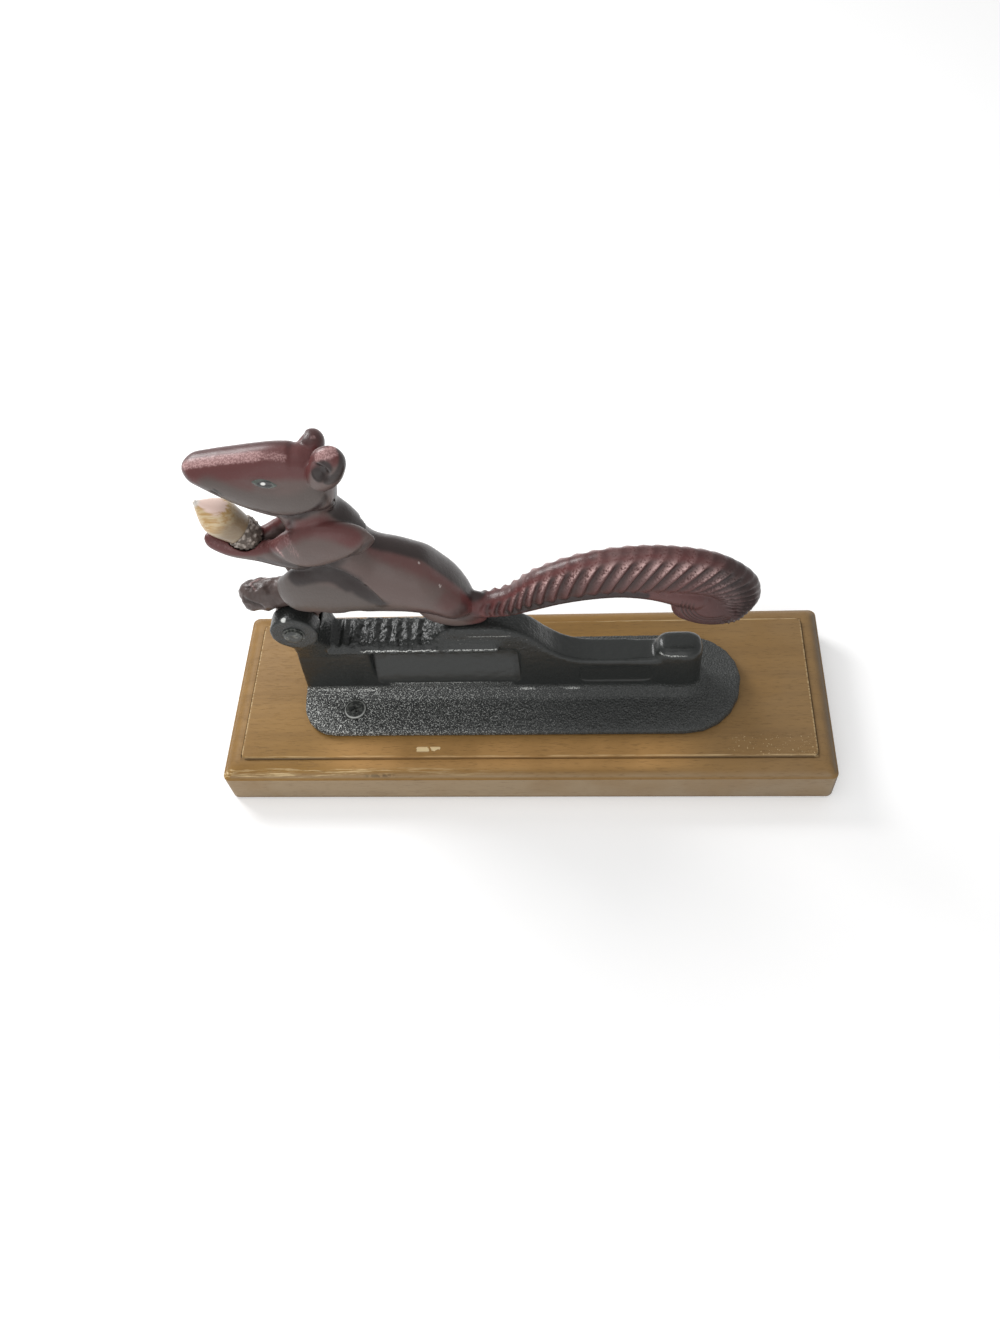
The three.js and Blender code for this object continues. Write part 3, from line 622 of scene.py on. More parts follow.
@dataclass(frozen=True)
class Stroke:
    """A brush stroke on the squirrel, drawn as x, y, z points on its near side, in millimetres."""

    tint: Tint
    points: Sequence[Row]
    width: float
    edge: float
    weight: float = 1.0
    both: bool = True

    def cover(self, points: np.ndarray) -> np.ndarray:
        """Works out how much of the stroke's paint each vertex gets.

        Args:
            points: The casting's vertices.

        Returns:
            The cover of each vertex, from 0 to the stroke's weight.
        """
        path = curve_through(self.points, np.linspace(0, 1, 40)) * MM
        reach = (self.width + self.edge) * MM
        spots = points.copy()
        if self.both:
            spots[:, 1] = -np.abs(spots[:, 1])
        inside = (spots > path.min(0) - reach) & (spots < path.max(0) + reach)
        near = np.flatnonzero(inside.all(1))
        gaps = np.linalg.norm(spots[near][:, None] - path[None], axis=2).min(1)
        found = np.zeros(len(points))
        found[near] = self.weight * (1 - eased(gaps, self.width * MM, reach))
        return found


@dataclass(frozen=True)
class MaroonEnamel:
    """Maroon paint on the squirrel: red on top, greyed on the flanks by a painted sheen, dark along
    the back.
    """

    # The mauve-grey base and the grey are the maroon under a painted sheen.
    flank: Paint = paint(101, 85, 81)
    red: Paint = paint(97, 55, 54)
    grey: Paint = paint(89, 80, 76)
    # The bright paint is for painted highlights, the dark mostly for painted shade.
    bright: Paint = paint(184, 146, 144)
    dark: Paint = paint(43, 35, 34)
    rib_red: Paint = paint(96, 52, 51)
    # Painted highlight on the ribs' tops.
    rib_bright: Paint = paint(226, 188, 184)
    olive: Paint = paint(82, 84, 76)
    pale_speck: Paint = paint(205, 195, 190)
    coating: Coating = Coating.THIN
    coat_roughness: float = 0.2
    specular: float = 0.3
    rump_place: Row = (-20 * MM, -1 * MM, 93 * MM)
    rump_size: Row = (1 * MM, 4 * MM)
    tail_start: Row = (-21 * MM, -15 * MM)
    tail_grey: Row = (14 * MM, 60 * MM, 14 * MM)
    # Where along the tail the ribs get painted highlights.
    tail_shine: Row = (8 * MM, 74 * MM, 16 * MM)
    tail_dark: Row = (58 * MM, 86 * MM)

    # Each pale speck is its x, y, z and size in millimetres.
    PALE_SPECKS = ((-26.3, -6.8, 101.4, 0.5), (-33, -3.5, 110.9, 0.3), (-28.3, -4, 107.3, 0.3))

    def build(self) -> bpy.types.Material:
        """Builds the paint.

        Returns:
            The material.
        """
        g = Graph("maroon_enamel", self.flank)
        up = g.add("ShaderNodeSeparateXYZ", "Z", {}, {0: g.facing})
        cloud = g.grain(14 * MM, 3)
        patch = g.grain(4 * MM, 4, 0.6)
        fine = g.grain(0.8 * MM, 4, 0.6)
        g.lay(cloud.rise(0.42, 0.62) * 0.25, self.grey)
        g.lay(self._laid(g, Tint.RED, patch, 0.35), self.red)
        # Painted sheen: the grey strokes grey the cheek and the thigh.
        g.lay(self._laid(g, Tint.GREY, patch, 0.3), self.grey)
        self._tail(g, up, fine, cloud)
        # Painted highlights: a streaky shine along the head's top, and glints on the ear and the
        # limbs.
        upright = g.turned((0, -0.3, 0), (1, 1, 0.3))
        shine_streaks = g.grain(0.55 * MM, 3, 0.6, upright)
        painted_shine = self._laid(g, Tint.BRIGHT, shine_streaks, 0.7) * (shine_streaks.rise(0.42, 0.6) * 0.6 + 0.4)
        g.lay(painted_shine, self.bright)
        # Painted shade on the faces that look down, in the dark strokes and in the carved grooves;
        # the dark strokes also darken the back.
        g.lay((up * -1).rise(0.1, 0.8) * 0.7, self.dark)
        g.lay(self._laid(g, Tint.DARK, patch, 0.4) * 0.92, self.dark)
        g.lay(self._kept(g, "groove") * 0.75, self.dark)
        rump = g.spot(self.rump_place, *self.rump_size) * patch.rise(0.45, 0.6)
        g.lay(rump * 0.6, self.olive)
        for x, y, z, size in self.PALE_SPECKS:
            speck = g.spot((x * MM, y * MM, z * MM), size * MM, 0.4 * MM) * fine.rise(0.44, 0.5)
            g.lay(speck * 0.6, self.pale_speck)
        relief = fine * 0.7 + g.grain(2.5 * MM, 2) * 0.6
        return g.dress(
            Roughness=g.between(patch, 0.3, 0.5) - self._kept(g, Tint.DARK.value) * 0.08,
            Specular_IOR_Level=self.specular,
            Coat_Weight=self.coating.value,
            Coat_Roughness=self.coat_roughness,
            Normal=g.bump(relief, 0.3 * MM, 0.45),
        )

    @staticmethod
    def _kept(g: Graph, name: str) -> Signal:
        """Reads what is kept on the vertices under a name."""
        return g.add("ShaderNodeAttribute", "Fac", {"attribute_name": name}, {})

    def _laid(self, g: Graph, tint: Tint, noise_of: Signal, ragged: float) -> Signal:
        """Reads where a tint is laid on, with an edge that the noise makes ragged."""
        return (self._kept(g, tint.value) + (noise_of - 0.5) * ragged).rise(0.04, 0.98)

    def _tail(self, g: Graph, up: Signal, fine: Signal, cloud: Signal) -> None:
        """Reddens the tail, paints highlights on its ribs' tops where they face up, and darkens its
        end.

        Args:
            g: The graph.
            up: How far the surface faces up.
            fine: Noise that breaks the painted highlights on the ribs up.
            cloud: Noise that varies the tail's red.
        """
        tail = g.x.rise(*self.tail_start)
        g.lay(tail * (cloud * 0.4 + 0.6), self.rib_red)
        # Clouds of the flank's sheen-greyed maroon on the tail's middle.
        low = g.x.band(*self.tail_grey) * cloud.rise(0.4, 0.6)
        g.lay(tail * low * 0.25, self.flank)
        # Painted highlights on the ribs' tops that face up.
        middle = g.x.band(*self.tail_shine)
        lit = (up + (fine - 0.5) * 0.4).rise(0.1, 0.7)
        glint_mask = (fine + (cloud - 0.5) * 0.4).rise(0.34, 0.52)
        ridge = (self._kept(g, "rib") ** 0.55) * glint_mask * middle
        g.lay(tail * ridge * lit, self.rib_bright)
        end = (g.x + (cloud - 0.5) * 12 * MM).rise(*self.tail_dark)
        g.lay(end * 0.6, self.dark)


@dataclass(frozen=True)
class BlackEnamel:
    """Black gloss paint on rough sand-cast iron, with painted highlights on the plate and along the
    edges.

    Each painted glint is a box of x, y and z limits in millimetres, and how bright the painted
    highlight is there.
    """

    black: Paint = paint(41, 43, 42)
    plate: Paint = paint(54, 56, 55)
    # The panel's lighter black is a painted reflection in the recess.
    panel: Paint = paint(50, 52, 51)
    # The lighter grey and the bright are painted highlights: sparkle on the plate and glints on
    # edges.
    wear_and_glint: Paint = paint(132, 132, 128)
    bright: Paint = paint(222, 224, 220)
    coating: Coating = Coating.THIN
    coat_roughness: float = 0.13
    specular: float = 0.32
    peel_size: float = 0.85 * MM
    near_y: Row = (0, -1 * MM)
    bar_x: Row = (-54 * MM, -6 * MM, 3 * MM)
    bar_z: Row = (35 * MM, 34 * MM)
    plate_z: Row = (33 * MM, 31 * MM)
    high_z: Row = (52 * MM, 60 * MM)
    panel_x: Row = (-59.5 * MM, -4 * MM, 1.5 * MM)
    panel_z: Row = (36 * MM, 56 * MM, 1 * MM)
    # Painted light: the plate's sparkle is brighter towards the lamp on the left.
    lit_x: Row = (46 * MM, -95 * MM)

    GLINTS = (
        ((-61, -34), (-9.5, -7.9), (61.3, 61.6), 1.0),
        ((-28, -4), (-9.5, -7.9), (61.3, 61.6), 0.7),
        ((-18, -5), (-6.4, -5.4), (67.3, 67.6), 0.4),
        ((-52, -18), (-6.6, -3.4), (34.2, 34.4), 0.35),
        ((-87, -76), (-7, -5.6), (29.9, 30.4), 0.45),
        ((-69, -64), (-7.2, -6), (29.7, 30.1), 0.7),
        ((0, 3), (-7.2, -6), (29.8, 30.2), 0.7),
        ((19, 21.5), (-7, -6), (29.9, 30.3), 0.7),
        ((55, 64), (-8, -4), (51.7, 52.1), 0.6),
    )

    def build(self) -> bpy.types.Material:
        """Builds the paint.

        Returns:
            The material.
        """
        g = Graph("black_iron", self.black)
        peel = g.cells(self.peel_size)
        sand = g.grain(0.5 * MM, 3, 0.6)
        lumps = g.grain(2.6 * MM, 3)
        near = g.y.rise(*self.near_y)
        below = g.x.band(*self.bar_x) * g.z.rise(*self.bar_z) * near
        plate = g.z.rise(*self.plate_z).most(below)
        high = g.z.rise(*self.high_z)
        g.lay(plate, self.plate)
        # Painted reflection: the recessed panel is a lighter black.
        recess = g.x.band(*self.panel_x) * g.z.band(*self.panel_z)
        g.lay(recess * near, self.panel)
        # Painted light and highlights: sparkle on the plate, brighter to the left, glints along the
        # edges and on the high parts.
        lit = g.x.rise(*self.lit_x) * 0.95 + 0.05
        peel_sparkle = (1 - peel * 1.2 + (sand - 0.5) * 0.6).rise(0.5, 0.85)
        g.lay(peel_sparkle * plate * lit * 0.6, self.wear_and_glint)
        g.lay(sand.rise(0.54, 0.62) * plate * lit, self.bright)
        g.lay(self._glints(g, sand), self.bright)
        glint_mask = g.grain(0.9 * MM, 2).rise(0.68, 0.71)
        g.lay(glint_mask * high * 0.35, self.wear_and_glint)
        relief = (peel * -0.9 + sand * 0.4) * (plate * 0.75 + high * 0.2 + 0.05) + lumps * 0.2
        return g.dress(
            Roughness=g.between(plate, 0.32, 0.46),
            Specular_IOR_Level=self.specular,
            Coat_Weight=self.coating.value,
            Coat_Roughness=self.coat_roughness,
            Normal=g.bump(relief, 0.8 * MM, 0.9),
        )

    def _glints(self, g: Graph, sand: Signal) -> Signal:
        """Masks the painted highlights: a spot on the boss and thin glint lines along the edges.

        Args:
            g: The graph.
            sand: The noise that breaks the lines up.

        Returns:
            The mask.
        """
        found = g.spot((-87.6 * MM, -11.3 * MM, 88 * MM), 0.8 * MM, 0.5 * MM)
        broken = sand.rise(0.44, 0.54)
        for (left, right), (near, far), (low, high), share in self.GLINTS:
            line = g.x.band(left * MM, right * MM, 3 * MM)
            line = line * g.y.band(near * MM, far * MM, 0.25 * MM)
            found = found + line * g.z.band(low * MM, high * MM, 0.25 * MM) * broken * share
        return found.least(1.0)


@dataclass(frozen=True)
class StainedWood:
    """Varnished honey-brown wood with open grain, dents and chips along its edges, and painted
    light and shade.
    """

    honey: Paint = paint(147, 112, 60)
    brown: Paint = paint(130, 98, 53)
    # Painted light on the front of the top, where the casting's shadow falls.
    lit: Paint = paint(190, 146, 90)
    # Painted shade towards the right end, away from the lamp.
    muted: Paint = paint(128, 110, 88)
    pore: Paint = paint(100, 76, 44)
    # A painted sheen on the faces that look to the front.
    front_sheen: Paint = paint(160, 142, 116)
    # Wood showing in the chips; the same colour lays painted highlights on the bead and the front
    # moulding.
    bare_wood_and_highlight: Paint = paint(248, 222, 172)
    # The dark of the smudge, also laid as painted shade on the faces that look right.
    stain_and_shade: Paint = paint(50, 40, 29)
    coating: Coating = Coating.WAXED
    coat_roughness: float = 0.3
    specular: float = 0.2
    muted_x: Row = (20 * MM, 110 * MM)
    lit_x: Row = (-60 * MM, 45 * MM, 36 * MM)
    lit_y: Row = (-22 * MM, -30 * MM)
    lit_z: Row = (18 * MM, 20 * MM)
    top_z: Row = (18 * MM, 19.5 * MM)
    foot_z: Row = (2.5 * MM, 0.2 * MM)
    groove_gap: Row = (0.15 * MM, 0.5 * MM, 0.25 * MM)
    bead_gap: Row = (0.75 * MM, 1.1 * MM, 0.25 * MM)
    streak_x: Row = (30 * MM, -125 * MM)
    streak_y: Row = (-40.4 * MM, -38.6 * MM, 1 * MM)
    smudge_x: Row = (-64 * MM, -55 * MM, 4 * MM)
    smudge_y: Row = (-42 * MM, -40.6 * MM, 0.8 * MM)
    smudge_z: Row = (16 * MM, 17.5 * MM)
    rim_y: Row = (-31.2 * MM, -29.7 * MM, 0.7 * MM)
    rim_z: Row = (21 * MM, 21.4 * MM, 0.4 * MM)
    corner_x: Row = (86 * MM, 117 * MM, 4 * MM)
    corner_y: Row = (-32.5 * MM, -26 * MM, 2.5 * MM)

    def build(self) -> bpy.types.Material:
        """Builds the wood.

        Returns:
            The material.
        """
        g = Graph("plaque_wood", self.honey)
        along = g.turned((0, 0, 0.02), (0.06, 1, 1))
        bands = g.grain(7 * MM, 4, 0.6, along)
        fibre = g.grain(0.9 * MM, 4, 0.7, along)
        pores = g.grain(0.45 * MM, 2, 0.5, g.turned((0, 0, 0.02), (0.12, 1, 1)))
        cloud = g.grain(30 * MM, 3)
        g.lay((bands * 0.75 + fibre * 0.3).rise(0.36, 0.74), self.brown)
        ahead = g.add("ShaderNodeSeparateXYZ", "Y", {}, {0: g.facing})
        # Painted sheen on the faces that look to the front.
        g.lay((ahead * -1).rise(0.55, 0.95) * 0.75, self.front_sheen)
        # Painted shade on the faces that look right, away from the lamp.
        g.lay(ahead.other("X").rise(0.3, 0.9) * 0.92, self.stain_and_shade)
        # Painted shade: duller towards the right end, away from the lamp.
        g.lay(g.x.rise(*self.muted_x) * 0.4, self.muted)
        # Painted light on the front strip of the top, where the casting's shadow falls.
        strip = g.y.rise(*self.lit_y) * g.z.rise(*self.lit_z)
        strip = strip * g.x.band(*self.lit_x)
        g.lay(strip * 0.85, self.lit)
        g.lay(cloud.rise(0.42, 0.7) * 0.35, self.brown)
        g.lay(pores.rise(0.57, 0.68) * 0.3, self.pore)
        past_end = abs(g.x) - (PLAQUE_LENGTH / 2 - MOULDING_WIDTH)
        past_side = abs(g.y) - (PLAQUE_DEPTH / 2 - MOULDING_WIDTH)
        inside = past_end.most(past_side) * -1
        top = g.z.rise(*self.top_z)
        # The moulding's groove is darker, and its bead gets a painted highlight.
        groove = inside.band(*self.groove_gap) * top
        g.lay(groove * (fibre * 0.6 + 0.2), self.pore)
        bead = inside.band(*self.bead_gap) * fibre.rise(0.4, 0.6)
        g.lay(bead * top * 0.3, self.bare_wood_and_highlight)
        g.lay(g.z.rise(*self.foot_z) * 0.6, self.pore)
        chips = self._chips(g)
        g.lay(chips, self.bare_wood_and_highlight)
        # A painted highlight in streaks along the front moulding.
        streaks = g.y.band(*self.streak_y) * g.x.rise(*self.streak_x)
        g.lay(streaks * fibre.rise(0.46, 0.64) * 0.6, self.bare_wood_and_highlight)
        smudge = g.x.band(*self.smudge_x) * g.y.band(*self.smudge_y)
        smudge = smudge * g.z.rise(*self.smudge_z)
        g.lay(smudge * g.grain(1.5 * MM).rise(0.4, 0.56) * 0.6, self.stain_and_shade)
        relief = fibre * 0.5 - pores.rise(0.57, 0.68) * 0.5 - chips * 0.9 + g.grain(9 * MM, 2)
        return g.dress(
            Roughness=g.between(bands, 0.45, 0.62) + chips * 0.2,
            Specular_IOR_Level=self.specular,
            Coat_Weight=self.coating.value,
            Coat_Roughness=self.coat_roughness,
            Normal=g.bump(relief, 0.22 * MM, 0.5),
        )

    def _chips(self, g: Graph) -> Signal:
        """Masks the places where the varnish has come off.

        Args:
            g: The graph.

        Returns:
            The mask.
        """
        ragged = g.grain(1.6 * MM, 4, 0.65)
        front = g.spot((-42 * MM, -30.6 * MM, 21.3 * MM), 0.6 * MM, 4 * MM)
        second = g.spot((-36.8 * MM, -29.4 * MM, 21.3 * MM), 0.4 * MM, 3.2 * MM)
        corner = g.x.band(*self.corner_x) * g.y.band(*self.corner_y)
        rim = g.z.band(*self.rim_z)
        places = (front.most(second) + (ragged - 0.5) * 1.6).rise(0.5, 0.56) * rim
        places = places * g.y.band(*self.rim_y)
        tiny = g.grain(0.8 * MM, 3, 0.6)
        scratches = corner * rim * (tiny + (g.x * 3 - 0.3) * 0.25).rise(0.65, 0.68)
        return (places + scratches * 0.55).least(1.0)


@dataclass(frozen=True)
class DarkSteel:
    """Steel that has been painted over, with bright steel showing through in places, and a painted
    highlight round each screw head's rim.
    """

    steel: Paint = paint(112, 114, 110)
    black: Paint = paint(58, 60, 58)
    # Painted highlight round the rim of each screw head.
    ring: Paint = paint(196, 198, 194)
    ring_radius: float = 4.3 * MM

    def build(self) -> bpy.types.Material:
        """Builds the metal.

        Returns:
            The material.
        """
        g = Graph("dark_steel", self.black)
        rub = g.grain(1.4 * MM, 4, 0.6)
        fine = g.grain(0.4 * MM, 3)
        bright = rub.rise(0.48, 0.6)
        g.lay(bright, self.steel)
        # Painted highlight round the rim of each screw head.
        for x, y in SCREW_PLACES:
            across, deep = g.x - x, g.y - y
            away = (across * across + deep * deep) ** 0.5
            edge = away.band(self.ring_radius - 0.2 * MM, self.ring_radius + 0.1 * MM, 0.15 * MM)
            g.lay(edge * g.z.rise(25 * MM, 25.6 * MM) * 0.8, self.ring)
        return g.dress(
            Metallic=g.between(bright, 0.1, 0.4),
            Roughness=g.between(fine, 0.25, 0.5),
            Normal=g.bump(fine + rub, 0.15 * MM, 0.4),
        )


@dataclass(frozen=True)
class AcornShell:
    """The acorn's polished shell: golden streaks, a pale tip, and a pinkish painted highlight on
    its top towards the tip.
    """

    gold: Paint = paint(190, 150, 94)
    straw: Paint = paint(214, 191, 150)
    # A painted highlight on the shell's upward faces.
    top_shine: Paint = paint(236, 208, 196)
    brown: Paint = paint(124, 110, 92)
    pale: Paint = paint(222, 216, 208)

    def build(self) -> bpy.types.Material:
        """Builds the shell.

        Returns:
            The material.
        """
        g = Graph("acorn_shell", self.gold)
        axis = (math.cos(ACORN_LEAN), 0.0, -math.sin(ACORN_LEAN))
        settings = {"operation": "DOT_PRODUCT"}
        away = g.add("ShaderNodeVectorMath", "Value", settings, {0: g.object, 1: axis})
        depth = away - sum(a * b for a, b in zip(ACORN_TIP, axis))
        streaks = g.turned((0, ACORN_LEAN, 0), (0.12, 1, 1))
        grain = g.grain(1.1 * MM, 4, 0.6, streaks)
        cloud = g.grain(5 * MM, 3)
        up = g.add("ShaderNodeSeparateXYZ", "Z", {}, {0: g.facing})
        g.lay(grain.rise(0.36, 0.62), self.straw)
        side = (depth + (cloud - 0.5) * 4 * MM).rise(8 * MM, 15 * MM)
        g.lay(side * 0.85, self.brown)
        # Painted highlight on the shell's top towards the tip.
        top = (up + (grain - 0.5) * 0.3).rise(0.72, 0.84)
        g.lay(top * depth.rise(16 * MM, 9 * MM), self.top_shine)
        g.lay(depth.rise(2.2 * MM, 0.8 * MM), self.pale)
        return g.dress(
            Roughness=g.between(grain, 0.22, 0.42),
            Coat_Weight=Coating.THIN.value,
            Normal=g.bump(grain + cloud, 0.12 * MM, 0.4),
        )


@dataclass(frozen=True)
class AcornScale:
    """The acorn's cup: dull grey-brown scales with pale edges."""

    brown: Paint = paint(172, 160, 150)
    dark: Paint = paint(96, 86, 78)
    pale: Paint = paint(200, 194, 188)

    def build(self) -> bpy.types.Material:
        """Builds the cup's skin.

        Returns:
            The material.
        """
        g = Graph("acorn_scale", self.brown)
        cells = g.cells(1.7 * MM)
        fine = g.grain(0.6 * MM, 4, 0.6)
        g.lay(cells.rise(0.15, 0.6), self.dark)
        g.lay(fine.rise(0.53, 0.62) * cells.rise(0.5, 0.2), self.pale)
        return g.dress(
            Roughness=g.between(fine, 0.45, 0.75),
            Normal=g.bump(fine - cells, 0.3 * MM, 0.6),
        )


@dataclass(frozen=True)
class EyePaint:
    """A glossy dark eye with a grey-green rim and a white glint."""

    pupil: Paint = paint(26, 26, 26)
    rim: Paint = paint(82, 88, 82)
    glint: Paint = paint(236, 236, 232)

    def build(self) -> bpy.types.Material:
        """Builds the eye's paint.

        Returns:
            The material.
        """
        g = Graph("eye_paint", self.pupil)
        x, z = EYE
        across, high = (g.x - x) * 0.55, g.z - z
        away = (across * across + high * high) ** 0.5
        fine = g.grain(0.5 * MM, 3)
        edge = (away + (fine - 0.5) * 0.5 * MM).rise(1.2 * MM, 1.7 * MM)
        g.lay(edge, self.rim)
        dot_x = g.x - (x - 0.2 * MM)
        dot_z = g.z - (z + 0.5 * MM)
        dot = ((dot_x * dot_x * 0.35 + dot_z * dot_z) ** 0.5).rise(0.6 * MM, 0.35 * MM)
        g.lay(dot, self.glint)
        return g.dress(
            Roughness=g.between(fine, 0.12, 0.3),
            Coat_Weight=Coating.GLOSSY.value,
            Normal=g.bump(fine, 0.05 * MM, 0.3),
        )


@dataclass
class Plaque:
    """The wooden plaque: a board with rounded corners and a moulded upper edge."""

    length: float = PLAQUE_LENGTH
    depth: float = PLAQUE_DEPTH
    side_height: float = 15.8 * MM
    moulding_width: float = MOULDING_WIDTH
    moulding_rise: float = 4.3 * MM
    step: float = 1.2 * MM
    corner: float = 3 * MM
    arris: float = 0.8 * MM
    screw_bores: Sequence[Row] = SCREW_PLACES
    bore: float = 4.8 * MM
    bore_depth: float = 16 * MM
    arc_start: float = math.pi / 8
    arc_steps: int = 14

    # The groove and the bead inside the moulding, as insets and rises in millimetres.
    BEAD = ((0.1, -0.35), (0.45, -0.35), (0.55, 0.95), (0.7, 1.12), (0.95, 1.2))

    def build(self) -> bpy.types.Object:
        """Makes the board.

        Returns:
            The finished board.
        """
        size = (self.length, self.depth, self.side_height)
        board = Bench.block("plaque_board", size, (0, 0, self.side_height / 2))
        with Bench.editing(board):
            Bench.choose(board, "EDGE", lambda e: abs(e.verts[0].co.z - e.verts[1].co.z) > 1 * MM)
            bpy.ops.mesh.bevel(offset=self.corner, segments=8, affect="EDGES")
            Bench.choose(board, "FACE", lambda f: f.normal.z > 0.9)
            self._mould()
            Bench.choose(board, "EDGE", lambda e: max(v.co.z for v in e.verts) < 0.1 * MM)
            bpy.ops.mesh.bevel(offset=self.arris, segments=3, affect="EDGES")
        top = self.side_height + self.moulding_rise + self.step
        for x, y in self.screw_bores:
            drill = (self.bore / 2, 2 * self.bore_depth, (x, y, top), 32)
            Bench.cut(board, Bench.drum("bore_tool", *drill, upright=True))
        Bench.outward(board)
        return Bench.smooth(board, 35)

    def _mould(self) -> None:
        """Draws the selected top face up over the moulding, ring by ring."""
        low = math.sin(self.arc_start)
        rows = []
        for turn in np.linspace(self.arc_start, math.pi / 2, self.arc_steps + 1)[1:]:
            inset = self.moulding_width * (1 - math.cos(turn))
            rows.append((inset, self.moulding_rise * (math.sin(turn) - low) / (1 - low)))
        last_inset, last_rise = rows[-1]
        for inset, rise in self.BEAD:
            rows.append((last_inset + inset * MM, last_rise + rise * MM))
        before_inset, before_rise = 0.0, 0.0
        for inset, rise in rows:
            bpy.ops.mesh.extrude_region_move()
            bpy.ops.transform.translate(value=(0, 0, rise - before_rise))
            share = [
                (side / 2 - inset) / (side / 2 - before_inset) for side in (self.length, self.depth)
            ]
            bpy.ops.transform.resize(value=(*share, 1), center_override=(0, 0, 0))
            before_inset, before_rise = inset, rise


@dataclass
class LogCasting:
    """The black cast log with its flange, clevis, toothed anvil and knot, in one casting."""

    grain: float = 0.62 * MM
    plate_top: float = 29 * MM
    half_width: float = 6 * MM
    hinge: tuple[float, float, float] = PIN
    slot_fill: float = 0.85
    sill_fill: float = 0.95
    worn_rounds: int = 44
    sand: tuple[float, float] = (0.14 * MM, 2.2 * MM)
    anvil_sand: tuple[float, float] = (0.55 * MM, 1.7 * MM)
    flange_top: float = 21.8 * MM
    boss: tuple[float, float] = (10 * MM, 16 * MM)

    # The zones of the casting that are changed.
    TEETH = ((Axis.Z, 55, 58), (Axis.X, -70, -64), (Axis.X, -22, -30))
    TOP = ((Axis.Z, 56, 60), (Axis.X, -72, -66))
    KNOT = ((Axis.X, 42, 48), (Axis.Z, 36, 40))
    NEAR = ((Axis.Y, 0, -2), (Axis.Z, 30.5, 33))
    SLOT = (*NEAR, (Axis.X, 0, 3), (Axis.X, 56, 53), (Axis.Z, 48, 45))
    SILL = (*NEAR, (Axis.X, -68, -65), (Axis.X, 2, -1), (Axis.Z, 52, 34))

    def build(self) -> bpy.types.Object:
        """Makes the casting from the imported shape, with eased edges and a sandy skin.

        Returns:
            The finished casting.
        """
        casting = Bench.copy_of("log_base", "log_casting")
        Bench.melt(casting, self.grain, 4)
        self._wear(casting)
        points = Bench.points(casting)
        x, _, z = points.T
        sandy = 0.5 + 0.5 * eased(z, self.plate_top + 6 * MM, self.plate_top)
        sandy *= eased(z, self.flange_top, self.flange_top + 1.2 * MM)
        sandy *= eased(np.hypot(x - self.hinge[0], z - self.hinge[2]), *self.boss)
        Bench.roughen(casting, *self.sand, sandy)
        Bench.roughen(casting, *self.anvil_sand, within(points, self.TEETH))
        return Bench.smooth(casting, 60)

    def _wear(self, casting: bpy.types.Object) -> None:
        """Rounds the anvil and the knot, and fills the near side's slot and sill.

        Args:
            casting: The casting.
        """
        points = Bench.points(casting)
        y = points[:, Axis.Y]
        raised = y > -self.half_width
        slot = within(points, self.SLOT) * raised
        sill = within(points, self.SILL) * raised
        wear_and_glint = (within(points, self.TOP), within(points, self.KNOT), slot, sill)
        y -= (y + self.half_width) * (slot * self.slot_fill + sill * self.sill_fill)
        Bench.place(casting, points)
        group = casting.vertex_groups.new(name="wear_and_glint")
        weights = np.maximum.reduce(wear_and_glint)
        for index in np.flatnonzero(weights > 0.02):
            group.add([int(index)], float(weights[index]), "REPLACE")
        rounds = self.worn_rounds
        Bench.modify(casting, "SMOOTH", factor=0.5, iterations=rounds, vertex_group="wear_and_glint")


@dataclass
class PivotPin:
    """The pin through the clevis, with both ends peened over."""

    place: tuple[float, float, float] = PIN
    radius: float = 3 * MM
    reach: float = 13.8 * MM
    head: float = 3.6 * MM
    head_length: float = 1.5 * MM
    collar: float = 0.55
    neck: float = 0.02 * MM

    # The head's rounded end, as insets and rises in millimetres.
    DOME = ((0.35, 0.28), (0.6, 0.2), (0.9, 0.08), (0.6, -0.12))

    def build(self) -> bpy.types.Object:
        """Makes the pin.

        Returns:
            The finished pin.
        """
        length = 2 * (self.reach - self.head_length)
        pin = Bench.drum("hinge_pin", self.radius, length, self.place, 48)
        collar = self.head_length * self.collar
        with Bench.editing(pin):
            for side in (-1, 1):
                Bench.choose(pin, "FACE", lambda f, s=side: s * f.normal.y > 0.9)
                bpy.ops.mesh.inset(thickness=self.neck / 2, depth=0.0)
                bpy.ops.mesh.extrude_region_shrink_fatten(
                    TRANSFORM_OT_shrink_fatten={"value": self.neck}
                )
                self._flare(pin)
                bpy.ops.mesh.extrude_region_move(
                    TRANSFORM_OT_translate={"value": (0, side * collar, 0)}
                )
                for inset, rise in self.DOME:
                    bpy.ops.mesh.inset(thickness=inset * MM, depth=rise * MM)
        Bench.outward(pin)
        return Bench.smooth(pin, 35)

    def _flare(self, pin: bpy.types.Object) -> None:
        """Widens the selected end of the pin to its head.

        Args:
            pin: The pin, open in edit mode.
        """
        x, _, z = self.place
        factor = self.head / self.radius
        mesh = bmesh.from_edit_mesh(pin.data)
        for vertex in mesh.verts:
            if vertex.select:
                vertex.co.x = x + (vertex.co.x - x) * factor
                vertex.co.z = z + (vertex.co.z - z) * factor
        bmesh.update_edit_mesh(pin.data)


